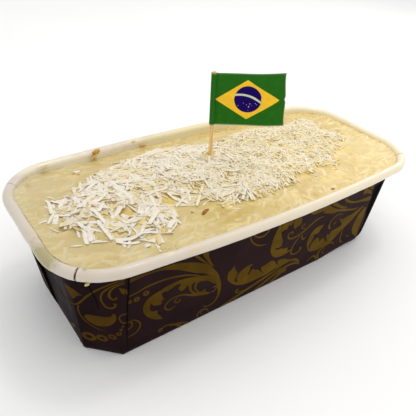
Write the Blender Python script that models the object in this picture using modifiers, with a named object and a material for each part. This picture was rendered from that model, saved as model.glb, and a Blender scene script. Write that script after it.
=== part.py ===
# Coconut loaf cake in its baked-on paper case, with a paper flag on a wooden pick.
# Metres, +Z up. The case stands on z = 0 with its long sides along X and its middle on the Z axis.

import math
import random

import bmesh
import bpy
from mathutils import Vector, noise

# Paper case: outline of the base, and centre line of the rolled rim
BASE_HALF_LENGTH = 0.0912
BASE_HALF_WIDTH = 0.0359
BASE_CORNER_RADIUS = 0.0188
RIM_HALF_LENGTH = 0.1000
RIM_HALF_WIDTH = 0.0390
RIM_CORNER_RADIUS = 0.0206
RIM_LONG_BULGE = 0.0050  # how far the filling pushes the middle of a long side out
RIM_END_BULGE = 0.0007
RIM_CENTRE_HEIGHT = 0.0519
RIM_RADIUS = 0.0032
BOARD = 0.0007  # thickness of the board, also of the curl
CURL_END_ANGLE = math.radians(-130)  # the roll stops short of the wall and leaves a slit
CURL_STEPS = 8
BASE_EDGE_HEIGHT = 0.0012
BASE_EDGE_INSET = 0.0010

# Corners: the board is folded round them in overlapping tabs.
# A place on the outline is a turn from 0 to 8: an even span is a side, an odd one a corner,
# counter-clockwise from the left end of the near side. An edge is a pair, (base, rim).
NEAR_TAB_EDGE = (-0.19, 0.03)  # glued tab of the left end, over the near side
NEAR_PANEL_END = (1.017, 0.941)  # the near side's outer layer ends and shows a dark gap
NEAR_CORNER_FOLD = (1.17, 0.950)
NEAR_CORNER_END = (2.35, 2.35)
FAR_TAB_START = (3.0, 3.0)
FAR_TAB_EDGE = (3.81, 4.03)
FAR_PANEL_END = (5.017, 4.941)
FAR_FLAP_FOLD = (5.17, 4.950)
FAR_FLAP_EDGE = (6.35, 5.86)  # loose flap of the far side, standing off the left end
FAR_CORNER_END = (6.50, 6.10)
NEAR_TAB_START = (7.0, 7.0)
STEP_TURN = 0.002  # width of the cut face at a tab's edge, as a turn
TAB_LIFT = 0.0007
GAP_STEP = 0.0003
FLAP_LIFT_START = (0.0009, 0.0014)  # base, rim
FLAP_LIFT_EDGE = (0.0006, 0.0024)
WALL_HEIGHTS = (0.0012, 0.0050, 0.0180, 0.0320, 0.0465)
TAB_TOP_HEIGHT = 0.0472
FOLD_CUT = 0.0121  # two corners are folded flat at the base, this far back from the square corner
FOLD_BENDS = (0.27, 0.73)
DENT_TURNS = (0.80, 0.94, 1.90, 2.35)  # the near right corner is pushed in, between these turns
DENT_DEPTH = 0.0017
DENT_FADE_HEIGHT = 0.0070
DENT_BASE_ROUNDING = 0.0022
DENT_BASE_HEIGHT = 0.0050

# Seams of the rolled rim, as (turn, width): one gapes, the others are only cut
RIM_SEAMS = ((7.62, 0.0013), (1.70, 0.0006), (3.45, 0.0006), (5.62, 0.0006))

# Cake
GAP = 0.0003  # clearance between pieces that touch
CAKE_SIDE_GAP = 0.0005
CAKE_SIDE_HEIGHTS = (0.0050, 0.0200, 0.0350, 0.0445)
CAKE_EDGE_HEIGHT = 0.0492
CAKE_CROWN = 0.0041
CAKE_EDGE_ROUNDING = 0.0005
CAKE_COLUMNS_LONG = 8
CAKE_COLUMNS_END = 3
CAKE_COLUMNS_CORNER = 6
CAKE_RINGS = (0.985, 0.93, 0.82, 0.64, 0.42, 0.16)  # rings of the top, as shares of its outline
CUSTARD_LUMP = 0.0004

# Heap of coconut on the cake
HEAP_HALF_LENGTH = 0.0820
HEAP_HALF_WIDTH = 0.0290
HEAP_CENTRE = (-0.0040, -0.0020)
HEAP_THICKNESS = 0.0034
HEAP_COLUMNS = 32
HEAP_RINGS = (0.98, 0.88, 0.74, 0.56, 0.34, 0.10)
SHRED_COUNT = 122
SHRED_SEED = 31
SHRED_SPACING = 0.0050
SHRED_LENGTH = (0.0080, 0.0180)
SHRED_WIDTH_LEFT = 0.0024
SHRED_WIDTH_RIGHT = 0.0015
SHRED_THICKNESS = 0.0008
SHRED_TILT = math.radians(9)
SHRED_BEND = math.radians(38)
SHRED_SAG = 0.03  # how far the ends hang, as a share of the length
SHRED_WALL_CLEARANCE = 0.0020
PICK_CLEARANCE = 0.0062  # no shred starts this near to the pick

# Pick and flag
PICK_ENTRY = Vector((-0.00644, 0.00918, 0.0570))
PICK_AXIS = Vector((-1.40, 1.16, 41.4)).normalized()
PICK_RADIUS = 0.00095
PICK_OUT = 0.0416  # length above the coconut
PICK_LENGTH = 0.0650
PICK_POINT_LENGTH = 0.0070
PICK_POINT_RADIUS = 0.00025
PICK_SIDES = 12
FLAG_BOTTOM = 0.0160  # distances along the pick from where it enters the coconut
FLAG_TOP = 0.0409
FLAG_DIRECTION = Vector((0.771, -0.637, 0.0)).normalized()
FLAG_REACH_TOP = 0.0322  # from the pick's axis to the free edge
FLAG_REACH_BOTTOM = 0.0340
FLAG_RISE = 0.0031  # the free edge stands this much higher than the edge on the pick
FLAG_WAVE = 0.0007
FLAG_DIP = 0.0005
SLEEVE_RADIUS = 0.00125
FLAG_LAYER_OFFSET = 0.00013  # the sheet is folded round the pick, one layer each side of the middle
FLAG_THICKNESS = 0.00018
FLAG_STEPS = 12
FLAG_ROWS = 4
SLEEVE_STEPS = 10

CORNER_SIGNS = ((1, -1), (1, 1), (-1, 1), (-1, -1))


def clear_scene():
    """Remove every object that the file starts with."""
    for thing in list(bpy.data.objects):
        bpy.data.objects.remove(thing, do_unlink=True)


def make_material(name, colour, roughness, metallic=0.0):
    """Principled material of one colour."""
    material = bpy.data.materials.new(name)
    material.use_nodes = True
    shader = material.node_tree.nodes["Principled BSDF"]
    shader.inputs["Base Color"].default_value = (*colour, 1.0)
    shader.inputs["Roughness"].default_value = roughness
    shader.inputs["Metallic"].default_value = metallic
    return material


def make_collection(name):
    """New collection in the scene."""
    collection = bpy.data.collections.new(name)
    bpy.context.scene.collection.children.link(collection)
    return collection


def add_object(name, mesh, collection, *materials):
    """New object on a mesh, with its materials, in a collection."""
    thing = bpy.data.objects.new(name, mesh)
    for material in materials:
        mesh.materials.append(material)
    collection.objects.link(thing)
    return thing


def shade(thing, angle):
    """Smooth shading with edges sharper than the angle kept crisp."""
    thing.data.shade_smooth()
    thing.data.set_sharp_from_angle(angle=angle)


def loft_mesh(name, rings, band_materials=None):
    """Closed mesh through rings of points, with a flat face on the first and on the last ring."""
    shape = bmesh.new()
    rows = [[shape.verts.new(point) for point in ring] for ring in rings]
    count = len(rows[0])
    for band, (lower, upper) in enumerate(zip(rows, rows[1:])):
        for i in range(count):
            j = (i + 1) % count
            face = shape.faces.new((lower[i], lower[j], upper[j], upper[i]))
            if band_materials:
                face.material_index = band_materials[band]
    shape.faces.new(list(reversed(rows[0])))
    top = shape.faces.new(rows[-1])
    if band_materials:
        top.material_index = band_materials[-1]
    bmesh.ops.recalc_face_normals(shape, faces=shape.faces)
    mesh = bpy.data.meshes.new(name)
    shape.to_mesh(mesh)
    shape.free()
    return mesh


def between(pair, share):
    """Value part of the way from the first to the second."""
    return pair[0] + (pair[1] - pair[0]) * share


def outline_point(turn, half_length, half_width, radius, cut=0.0):
    """Point of a rounded rectangle at a turn; with a cut, two opposite corners are folded flat."""
    span, along = divmod(turn % 8.0, 1.0)
    quarter = int(span) // 2
    start_angle = math.radians(90 * quarter - 90)

    def on_corner(index, angle):
        sign_x, sign_y = CORNER_SIGNS[index % 4]
        x = sign_x * (half_length - radius) + radius * math.cos(angle)
        y = sign_y * (half_width - radius) + radius * math.sin(angle)
        return Vector((x, y, 0.0))

    if int(span) % 2 == 0:
        return on_corner(quarter - 1, start_angle).lerp(on_corner(quarter, start_angle), along)
    if not cut or quarter % 2 == 0:
        return on_corner(quarter, start_angle + along * math.pi / 2)
    first = on_corner(quarter, start_angle)
    last = on_corner(quarter, start_angle + math.pi / 2)
    sign_x, sign_y = CORNER_SIGNS[quarter]
    tip = Vector((sign_x * half_length, sign_y * half_width, 0.0))
    bends = (first, tip.lerp(first, cut / radius), tip.lerp(last, cut / radius), last)
    places = (0.0, *FOLD_BENDS, 1.0)
    piece = 0 if along < FOLD_BENDS[0] else (1 if along < FOLD_BENDS[1] else 2)
    share = (along - places[piece]) / (places[piece + 1] - places[piece])
    return bends[piece].lerp(bends[piece + 1], share)


def ramp(value, places):
    """0 outside four places, 1 between the middle two, straight between."""
    rise = (value - places[0]) / (places[1] - places[0])
    fall = (places[3] - value) / (places[3] - places[2])
    return max(0.0, min(1.0, rise, fall))


def dent(turn, height):
    """How far the near right corner is pushed in, fading out under the rim."""
    fade = max(0.0, min(1.0, (RIM_CENTRE_HEIGHT - height) / DENT_FADE_HEIGHT))
    return DENT_DEPTH * ramp(turn % 8.0, DENT_TURNS) * fade


def base_rounding(turn, height):
    """How far the pushed-in corner is rounded off above the base."""
    low = max(0.0, 1 - height / DENT_BASE_HEIGHT)
    return DENT_BASE_ROUNDING * ramp(turn % 8.0, DENT_TURNS) * low * low


def rim_point(turn):
    """Centre line of the rolled rim: a rounded rectangle whose sides bulge outwards."""
    point = outline_point(turn, RIM_HALF_LENGTH, RIM_HALF_WIDTH, RIM_CORNER_RADIUS)
    across = 1 - (point.x / RIM_HALF_LENGTH) ** 2
    endwise = 1 - (point.y / RIM_HALF_WIDTH) ** 2
    x = point.x * (1 + RIM_END_BULGE / RIM_HALF_LENGTH * endwise)
    y = point.y * (1 + RIM_LONG_BULGE / RIM_HALF_WIDTH * across)
    return Vector((x, y, 0.0))


def base_point(turn):
    """Outer outline of the case at the base."""
    return outline_point(turn, BASE_HALF_LENGTH, BASE_HALF_WIDTH, BASE_CORNER_RADIUS, FOLD_CUT)


def outward(curve, turn):
    """Level direction that points out of the case, square to the curve."""
    small = 0.01
    along = (curve(turn + small) - curve(turn - small)).normalized()
    return Vector((along.y, -along.x, 0.0))


def wall_point(edge, height, inset=0.0):
    """Point of the case's wall at a height, moved in from its outer face by the inset."""
    share = height / RIM_CENTRE_HEIGHT
    turn = between(edge, share)
    top = rim_point(turn) - outward(rim_point, turn) * (RIM_RADIUS - BOARD)
    side = base_point(turn).lerp(top, share)
    normal = outward(base_point, turn).lerp(outward(rim_point, turn), share).normalized()
    inset += dent(turn, height) + base_rounding(turn, height)
    return side - normal * inset + Vector((0.0, 0.0, height))


def curl_point(turn, angle, radius):
    """Point on the rolled rim's section: 180 degrees is over the wall, 90 on top, 0 outside."""
    level = outward(rim_point, turn) * (radius * math.cos(angle))
    height = RIM_CENTRE_HEIGHT + radius * math.sin(angle)
    return rim_point(turn) + level + Vector((0.0, 0.0, height))


def case_columns():
    """Columns of the case all round, each (edge, lift, bridges).

    The lift is how far the outer face stands out, at the base and at the rim; a column that
    bridges doesn't follow the pushed-in corner.
    """
    flat = (0.0, 0.0)
    tab = (TAB_LIFT, TAB_LIFT)
    gap = (-GAP_STEP, -GAP_STEP)
    first_edge = (NEAR_TAB_EDGE[0] + 8.0, NEAR_TAB_EDGE[1] + 8.0)
    stretches = (
        (NEAR_TAB_EDGE, NEAR_PANEL_END, 9, flat, flat, True),
        (NEAR_PANEL_END, NEAR_CORNER_FOLD, 1, gap, gap, False),
        (NEAR_CORNER_FOLD, NEAR_CORNER_END, 9, flat, flat, False),
        (NEAR_CORNER_END, FAR_TAB_START, 2, flat, flat, False),
        (FAR_TAB_START, FAR_TAB_EDGE, 6, flat, tab, False),
        (FAR_TAB_EDGE, FAR_PANEL_END, 8, flat, flat, False),
        (FAR_PANEL_END, FAR_FLAP_FOLD, 1, gap, gap, False),
        (FAR_FLAP_FOLD, FAR_FLAP_EDGE, 8, FLAP_LIFT_START, FLAP_LIFT_EDGE, False),
        (FAR_FLAP_EDGE, FAR_CORNER_END, 3, flat, flat, False),
        (FAR_CORNER_END, NEAR_TAB_START, 1, flat, flat, False),
        (NEAR_TAB_START, first_edge, 7, flat, tab, False),
    )
    columns = []
    for start, end, steps, lift_start, lift_end, bridges in stretches:
        for i in range(steps + 1):
            share = i / steps
            shift = STEP_TURN * (1 - share)
            edge = tuple(between(pair, share) + shift for pair in zip(start, end))
            lift = tuple(between(pair, share) for pair in zip(lift_start, lift_end))
            columns.append((edge, lift, bridges))
    return columns


def outer_point(column, height):
    """Point of the case's outer face on a column, with its tabs and flaps."""
    edge, lift, bridges = column
    share = height / RIM_CENTRE_HEIGHT
    inset = -between(lift, share)
    if bridges:
        inset -= dent(between(edge, share), height)
    return wall_point(edge, height, inset)


def seam_cutter(turn, width, collection):
    """Block that cuts through the rolled rim at a seam and leaves the wall behind it."""
    shape = bmesh.new()
    bmesh.ops.create_cube(shape, size=1.0)
    mesh = bpy.data.meshes.new("seam_cutter")
    shape.to_mesh(mesh)
    shape.free()
    cutter = add_object("seam_cutter", mesh, collection)
    normal = outward(rim_point, turn)
    reach = 2 * RIM_RADIUS
    cutter.scale = (reach, width, 3 * RIM_RADIUS)
    cutter.rotation_euler = (0.0, 0.0, math.atan2(normal.y, normal.x))
    offset = reach / 2 - RIM_RADIUS + 2 * BOARD
    cutter.location = rim_point(turn) + normal * offset + Vector((0.0, 0.0, RIM_CENTRE_HEIGHT))
    cutter.hide_render = True
    cutter.display_type = "WIRE"
    return cutter


def make_case(collection, cutters, board_dark, board_white):
    """Tray of board with sloping walls, folded corners and a rim rolled outwards."""
    columns = case_columns()
    edges = [edge for edge, lift, bridges in columns]
    rim_turns = [edge[1] for edge in edges]
    inside = [(turn, turn) for turn in rim_turns]
    curl_angles = [between((math.pi, CURL_END_ANGLE), i / CURL_STEPS) for i in range(CURL_STEPS + 1)]
    rings = [
        [wall_point(edge, 0.0, BASE_EDGE_INSET) for edge in edges],
        [wall_point(edge, BASE_EDGE_HEIGHT * 0.3, BASE_EDGE_INSET * 0.3) for edge in edges],
    ]
    for height in WALL_HEIGHTS:
        rings.append([outer_point(column, height) for column in columns])
    rings.append([wall_point(edge, TAB_TOP_HEIGHT) for edge in edges])
    outside_bands = len(rings) - 1
    for angle in curl_angles:
        rings.append([curl_point(turn, angle, RIM_RADIUS - BOARD) for turn in rim_turns])
    for angle in reversed(curl_angles):
        rings.append([curl_point(turn, angle, RIM_RADIUS) for turn in rim_turns])
    for height in reversed(WALL_HEIGHTS[1:-1]):
        rings.append([wall_point(edge, height, BOARD) for edge in inside])
    rings.append([wall_point(edge, 2.2 * BOARD, 1.1 * BOARD) for edge in inside])
    rings.append([wall_point(edge, BOARD, 2.2 * BOARD) for edge in inside])
    bands = [0] * outside_bands + [1] * (len(rings) - outside_bands)
    case = add_object("paper_case", loft_mesh("paper_case", rings, bands), collection)
    case.data.materials.append(board_dark)
    case.data.materials.append(board_white)
    for turn, width in RIM_SEAMS:
        seam = case.modifiers.new("seam", "BOOLEAN")
        seam.operation = "DIFFERENCE"
        seam.object = seam_cutter(turn, width, cutters)
    shade(case, math.radians(32))
    return case


def inside_turns():
    """Turns all round for the cake's side, closer together in the corners."""
    turns = []
    for span in range(8):
        steps = (CAKE_COLUMNS_LONG, CAKE_COLUMNS_CORNER, CAKE_COLUMNS_END, CAKE_COLUMNS_CORNER)[span % 4]
        turns += [span + i / steps for i in range(steps)]
    return sorted(turns + [turn for turn in DENT_TURNS if turn not in turns])


def dome_height(x, y):
    """Height of the baked surface: a low crown with shallow custard lumps."""
    along = min(abs(x) / RIM_HALF_LENGTH, 1.0)
    across = min(abs(y) / (RIM_HALF_WIDTH + RIM_LONG_BULGE), 1.0)
    crown = CAKE_CROWN * (1 - along ** 4) * (1 - across ** 2.5)
    lump = CUSTARD_LUMP * noise.noise(Vector((x, y, 0.0)) * 70.0)
    return CAKE_EDGE_HEIGHT + crown + lump * min(1.0, 3.0 * crown / CAKE_CROWN)


def cake_body():
    """Baked loaf that fills the case, up to its crowned surface."""
    turns = inside_turns()
    inset = BOARD + CAKE_SIDE_GAP
    floor = BOARD + GAP
    rings = [
        [wall_point((turn, turn), floor, inset + 2.2 * BOARD) for turn in turns],
        [wall_point((turn, turn), floor + 1.6 * BOARD, inset + 0.3 * BOARD) for turn in turns],
    ]
    for height in CAKE_SIDE_HEIGHTS:
        rings.append([wall_point((turn, turn), height, inset) for turn in turns])
    edge = [wall_point((turn, turn), CAKE_EDGE_HEIGHT - CAKE_EDGE_ROUNDING, inset) for turn in turns]
    rings.append(edge)
    for scale in CAKE_RINGS:
        ring = []
        for point in edge:
            x = point.x * scale
            y = point.y * scale
            ring.append(Vector((x, y, dome_height(x, y))))
        rings.append(ring)
    return loft_mesh("cake", rings)


def heap_edge(angle):
    """Edge of the coconut heap in plan: a blunt oval with an uneven border."""
    power = 2.6
    across = abs(math.cos(angle)) ** power + abs(math.sin(angle)) ** power
    size = across ** (-1 / power)
    uneven = 1 + 0.05 * math.sin(5 * angle + 0.6) + 0.045 * math.sin(9 * angle + 2.0)
    x = HEAP_CENTRE[0] + HEAP_HALF_LENGTH * size * uneven * math.cos(angle)
    y = HEAP_CENTRE[1] + HEAP_HALF_WIDTH * size * uneven * math.sin(angle)
    return Vector((x, y, 0.0))


def heap_share(x, y):
    """How far a place lies from the heap's middle: 0 in the middle, 1 on its edge."""
    angle = math.atan2((y - HEAP_CENTRE[1]) / HEAP_HALF_WIDTH, (x - HEAP_CENTRE[0]) / HEAP_HALF_LENGTH)
    edge = heap_edge(angle)
    reach = math.hypot(edge.x - HEAP_CENTRE[0], edge.y - HEAP_CENTRE[1])
    return math.hypot(x - HEAP_CENTRE[0], y - HEAP_CENTRE[1]) / reach


def heap_height(x, y):
    """Height of the heap's core over a place."""
    share = min(heap_share(x, y), 1.0)
    lump = 0.25 * noise.noise(Vector((x, y, 0.02)) * 110.0)
    return dome_height(x, y) + HEAP_THICKNESS * (1 - share ** 3) * (1.0 + lump)


def heap_core():
    """Low mound of coconut, sunk a little into the cake."""
    centre = Vector((HEAP_CENTRE[0], HEAP_CENTRE[1], 0.0))
    angles = [2 * math.pi * i / HEAP_COLUMNS for i in range(HEAP_COLUMNS)]
    border = [heap_edge(angle) for angle in angles]
    foot = CAKE_EDGE_HEIGHT - 0.0030
    rings = [[centre.lerp(point, 0.9) + Vector((0.0, 0.0, foot)) for point in border]]
    for scale in HEAP_RINGS:
        ring = []
        for point in border:
            place = centre.lerp(point, scale)
            ring.append(Vector((place.x, place.y, heap_height(place.x, place.y))))
        rings.append(ring)
    return loft_mesh("heap_core", rings)


def room_to_wall(x, y):
    """Distance from a place on the cake to the inside of the case."""
    radius = RIM_CORNER_RADIUS - RIM_RADIUS
    across = RIM_LONG_BULGE * (1 - (x / RIM_HALF_LENGTH) ** 2)
    past_x = abs(x) - (RIM_HALF_LENGTH - RIM_CORNER_RADIUS)
    past_y = abs(y) - (RIM_HALF_WIDTH + across - RIM_CORNER_RADIUS)
    if past_x > 0 and past_y > 0:
        return radius - math.hypot(past_x, past_y)
    return radius - max(past_x, past_y)


def shred_mesh(place, heading, length, width, rng):
    """One shred: a flat bent strip that lies along the heap's surface."""
    step = length / 2
    bend = rng.uniform(-SHRED_BEND, SHRED_BEND) / 2
    tilt = rng.uniform(-SHRED_TILT, SHRED_TILT)
    height = heap_height(place.x, place.y) + rng.uniform(0.1, 0.42) * SHRED_THICKNESS
    path = []
    for i in (-1, 0, 1):
        turn = heading + bend * i
        offset = Vector((math.cos(turn), math.sin(turn), 0.0)) * (step * i)
        sag = -SHRED_SAG * length * abs(i)
        level = height + math.tan(tilt) * step * i + sag
        point = Vector((place.x + offset.x, place.y + offset.y, 0.0))
        surface = heap_height(point.x, point.y)
        point.z = max(level, surface - 0.2 * SHRED_THICKNESS)
        path.append((point, turn))
    rings = []
    for point, turn in path:
        side = Vector((-math.sin(turn), math.cos(turn), 0.0)) * (width / 2)
        half = Vector((0.0, 0.0, SHRED_THICKNESS / 2))
        rings.append([point - side - half, point + side - half, point + side + half, point - side + half])
    return loft_mesh("shred", rings)


def add_shreds(collection):
    """Shreds of coconut all over the heap, spread evenly by a seeded draw."""
    rng = random.Random(SHRED_SEED)
    places = []
    while len(places) < SHRED_COUNT:
        x = HEAP_CENTRE[0] + rng.uniform(-1.12, 1.12) * HEAP_HALF_LENGTH
        y = HEAP_CENTRE[1] + rng.uniform(-1.15, 1.15) * HEAP_HALF_WIDTH
        place = Vector((x, y, 0.0))
        away = (place - PICK_ENTRY.to_2d().to_3d()).length
        crowded = any((place - other).length < SHRED_SPACING for other in places)
        if heap_share(x, y) > 1.0 or crowded:
            continue
        length = rng.uniform(*SHRED_LENGTH)
        if away < PICK_CLEARANCE + length / 2:
            length = max(SHRED_LENGTH[0], 2 * (away - PICK_CLEARANCE / 2))
        if away < PICK_CLEARANCE:
            continue
        if room_to_wall(x, y) < SHRED_WALL_CLEARANCE + length / 2:
            length = SHRED_LENGTH[0]
        if room_to_wall(x, y) < SHRED_WALL_CLEARANCE + length / 2:
            continue
        places.append(place)
        leftness = 0.5 - x / (2 * RIM_HALF_LENGTH)
        width = between((SHRED_WIDTH_RIGHT, SHRED_WIDTH_LEFT), leftness) * rng.uniform(0.8, 1.1)
        heading = rng.uniform(0.0, math.pi)
        if away < PICK_CLEARANCE + length / 2:
            heading = math.atan2(y - PICK_ENTRY.y, x - PICK_ENTRY.x) + math.pi / 2
        add_object("shred", shred_mesh(place, heading, length, width, rng), collection)


def keep_main_shell(mesh):
    """Drop sealed hollows and loose scraps that joining the shreds can leave."""
    shape = bmesh.new()
    shape.from_mesh(mesh)
    shape.verts.ensure_lookup_table()
    unseen = set(shape.verts)
    shells = []
    while unseen:
        front = [unseen.pop()]
        shell = set(front)
        while front:
            vertex = front.pop()
            for edge in vertex.link_edges:
                other = edge.other_vert(vertex)
                if other in unseen:
                    unseen.discard(other)
                    shell.add(other)
                    front.append(other)
        shells.append(shell)
    shells.sort(key=len)
    for shell in shells[:-1]:
        bmesh.ops.delete(shape, geom=list(shell), context="VERTS")
    shape.to_mesh(mesh)
    shape.free()


def applied_mesh(thing):
    """Mesh of an object with its modifiers worked in."""
    graph = bpy.context.evaluated_depsgraph_get()
    return bpy.data.meshes.new_from_object(thing.evaluated_get(graph))


def pick_placed(thing, distance):
    """Stand an object on the pick's axis, at a distance from where the pick enters the coconut."""
    thing.location = PICK_ENTRY + PICK_AXIS * distance
    thing.rotation_mode = "QUATERNION"
    thing.rotation_quaternion = Vector((0.0, 0.0, 1.0)).rotation_difference(PICK_AXIS)


def make_cake(collection, cutters, crumb):
    """Cake with its heap of coconut as one solid, and the hole that the pick stands in."""
    cake = add_object("cake", cake_body(), collection, crumb)
    toppings = make_collection("toppings")
    add_object("heap_core", heap_core(), toppings)
    add_shreds(toppings)
    join = cake.modifiers.new("join", "BOOLEAN")
    join.operation = "UNION"
    join.solver = "MANIFOLD"
    join.operand_type = "COLLECTION"
    join.collection = toppings
    joined = applied_mesh(cake)
    cake.modifiers.remove(join)
    keep_main_shell(joined)
    cake.data = joined
    for topping in list(toppings.objects):
        bpy.data.objects.remove(topping, do_unlink=True)
    bpy.data.collections.remove(toppings)

    depth = PICK_LENGTH - PICK_OUT + GAP
    shape = bmesh.new()
    bmesh.ops.create_cone(
        shape,
        cap_ends=True,
        segments=PICK_SIDES,
        radius1=PICK_RADIUS + GAP,
        radius2=PICK_RADIUS + GAP,
        depth=2 * depth,
    )
    mesh = bpy.data.meshes.new("pick_hole")
    shape.to_mesh(mesh)
    shape.free()
    hole = add_object("pick_hole", mesh, cutters)
    pick_placed(hole, 0.0)
    hole.hide_render = True
    hole.display_type = "WIRE"
    cut = cake.modifiers.new("pick_hole", "BOOLEAN")
    cut.operation = "DIFFERENCE"
    cut.object = hole
    shade(cake, math.radians(35))
    return cake


def make_pick(collection, wood):
    """Round wooden pick, pointed below, from a turned profile."""
    bottom = -PICK_POINT_LENGTH
    shaft = PICK_LENGTH - PICK_POINT_LENGTH
    profile = [
        (0.0, shaft),
        (PICK_RADIUS * 0.8, shaft),
        (PICK_RADIUS, shaft - PICK_RADIUS * 0.3),
        (PICK_RADIUS, 0.0),
        (PICK_POINT_RADIUS, bottom),
        (0.0, bottom),
    ]
    mesh = bpy.data.meshes.new("pick")
    points = [(radius, 0.0, height) for radius, height in profile]
    mesh.from_pydata(points, [(i, i + 1) for i in range(len(points) - 1)], [])
    pick = add_object("pick", mesh, collection, wood)
    turn = pick.modifiers.new("turn", "SCREW")
    turn.steps = PICK_SIDES
    turn.render_steps = PICK_SIDES
    turn.use_merge_vertices = True
    turn.merge_threshold = 0.00001
    pick_placed(pick, PICK_OUT - shaft)
    return pick


def flag_section():
    """Path of the folded sheet in plan: (distance from the pick's axis, offset to the side)."""
    start = math.sqrt(SLEEVE_RADIUS ** 2 - FLAG_LAYER_OFFSET ** 2)
    opening = math.asin(FLAG_LAYER_OFFSET / SLEEVE_RADIUS)
    sleeve = []
    for i in range(SLEEVE_STEPS + 1):
        angle = between((-opening, opening - 2 * math.pi), i / SLEEVE_STEPS)
        sleeve.append((SLEEVE_RADIUS * math.cos(angle), SLEEVE_RADIUS * math.sin(angle)))
    shares = [i / FLAG_STEPS for i in range(1, FLAG_STEPS + 1)]
    front = [(start + (1 - start) * share, -FLAG_LAYER_OFFSET, share) for share in reversed(shares)]
    back = [(start + (1 - start) * share, FLAG_LAYER_OFFSET, share) for share in shares]
    return front, sleeve, back


def flag_point(share, side, up):
    """Point of the sheet: share runs along the flag, side is its layer's offset, up its height."""
    normal = Vector((-FLAG_DIRECTION.y, FLAG_DIRECTION.x, 0.0))
    on_pick = PICK_ENTRY + PICK_AXIS * between((FLAG_BOTTOM, FLAG_TOP), up)
    reach = between((FLAG_REACH_BOTTOM, FLAG_REACH_TOP), up)
    wave = FLAG_WAVE * math.sin(2 * math.pi * (share + 0.12 * up)) * share
    dip = FLAG_DIP * math.sin(math.pi * share)
    point = on_pick + FLAG_DIRECTION * (reach * share) + normal * (side + wave)
    point.z += FLAG_RISE * share - dip
    return point


def make_flag(collection, paper):
    """Sheet of paper folded round the pick, both halves lying together."""
    front, sleeve, back = flag_section()
    normal = Vector((-FLAG_DIRECTION.y, FLAG_DIRECTION.x, 0.0))
    shape = bmesh.new()
    rows = []
    for row in range(FLAG_ROWS + 1):
        up = row / FLAG_ROWS
        on_pick = PICK_ENTRY + PICK_AXIS * between((FLAG_BOTTOM, FLAG_TOP), up)
        points = [flag_point(share, side, up) for _, side, share in front]
        points += [on_pick + FLAG_DIRECTION * x + normal * y for x, y in sleeve]
        points += [flag_point(share, side, up) for _, side, share in back]
        rows.append([shape.verts.new(point) for point in points])
    for lower, upper in zip(rows, rows[1:]):
        for i in range(len(lower) - 1):
            shape.faces.new((lower[i], lower[i + 1], upper[i + 1], upper[i]))
    mesh = bpy.data.meshes.new("flag")
    shape.to_mesh(mesh)
    shape.free()
    flag = add_object("flag", mesh, collection, paper)
    board = flag.modifiers.new("thickness", "SOLIDIFY")
    board.thickness = FLAG_THICKNESS
    board.offset = 0.0
    return flag


def main():
    """Build the whole object."""
    clear_scene()
    parts = make_collection("coconut_loaf_cake")
    cutters = make_collection("cutters")
    board_dark = make_material("dark_brown_board", (0.022, 0.012, 0.014), 0.45)
    board_white = make_material("white_board", (0.72, 0.66, 0.58), 0.5)
    crumb = make_material("cake_and_coconut", (0.70, 0.58, 0.34), 0.55)
    wood = make_material("pale_wood", (0.66, 0.41, 0.18), 0.6)
    paper = make_material("green_paper", (0.02, 0.13, 0.01), 0.5)
    make_case(parts, cutters, board_dark, board_white)
    make_cake(parts, cutters, crumb)
    make_pick(parts, wood)
    make_flag(parts, paper)


main()
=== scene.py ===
# Coconut loaf cake in its printed paper case, with a paper flag on a wooden pick.
# Every surface is worked out with numpy as a function of two parameters and put into a mesh.
# Metres, +Z up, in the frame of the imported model.

import math

import bpy
import numpy as np
from mathutils import Matrix, Vector, geometry


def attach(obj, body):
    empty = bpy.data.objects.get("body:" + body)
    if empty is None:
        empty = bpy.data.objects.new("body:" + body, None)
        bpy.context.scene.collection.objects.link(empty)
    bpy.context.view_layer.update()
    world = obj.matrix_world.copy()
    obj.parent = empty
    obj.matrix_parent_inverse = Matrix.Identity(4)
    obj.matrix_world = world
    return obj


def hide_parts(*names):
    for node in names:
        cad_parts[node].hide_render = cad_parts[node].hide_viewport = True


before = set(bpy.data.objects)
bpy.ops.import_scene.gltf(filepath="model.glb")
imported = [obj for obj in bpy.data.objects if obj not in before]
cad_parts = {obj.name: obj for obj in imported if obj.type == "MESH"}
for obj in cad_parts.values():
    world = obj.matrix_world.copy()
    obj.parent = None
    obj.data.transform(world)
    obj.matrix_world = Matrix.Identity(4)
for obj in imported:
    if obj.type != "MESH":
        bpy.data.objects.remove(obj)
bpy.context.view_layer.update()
mm = 0.001


def putMesh(name, points, quads, triangles=None, materials=(), faceMaterial=None, crease=40.0):
    # corners of all the faces in one row, and where each face starts in that row
    quads = np.asarray(quads, int).reshape(-1, 4)
    triangles = np.zeros((0, 3), int) if triangles is None else np.asarray(triangles, int).reshape(-1, 3)
    corners = np.concatenate([quads.ravel(), triangles.ravel()])
    sizes = np.concatenate([np.full(len(quads), 4), np.full(len(triangles), 3)])
    starts = np.cumsum(sizes) - sizes
    mesh = bpy.data.meshes.new(name)
    mesh.vertices.add(len(points))
    mesh.vertices.foreach_set("co", np.asarray(points, np.float32).ravel())
    mesh.loops.add(len(corners))
    mesh.loops.foreach_set("vertex_index", corners.astype(np.int32))
    mesh.polygons.add(len(sizes))
    mesh.polygons.foreach_set("loop_start", starts.astype(np.int32))
    if faceMaterial is not None:
        mesh.polygons.foreach_set("material_index", np.asarray(faceMaterial, np.int32))
    for material in materials:
        mesh.materials.append(material)
    mesh.update(calc_edges=True)
    mesh.validate()
    mesh.shade_smooth()
    mesh.set_sharp_from_angle(angle=math.radians(crease))
    piece = bpy.data.objects.new(name, mesh)
    bpy.context.scene.collection.objects.link(piece)
    return piece


def keepShare(piece, name, values):
    # one number per vertex, which the materials read
    layer = piece.data.attributes.new(name, "FLOAT", "POINT")
    layer.data.foreach_set("value", np.asarray(values, np.float32).ravel())


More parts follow.
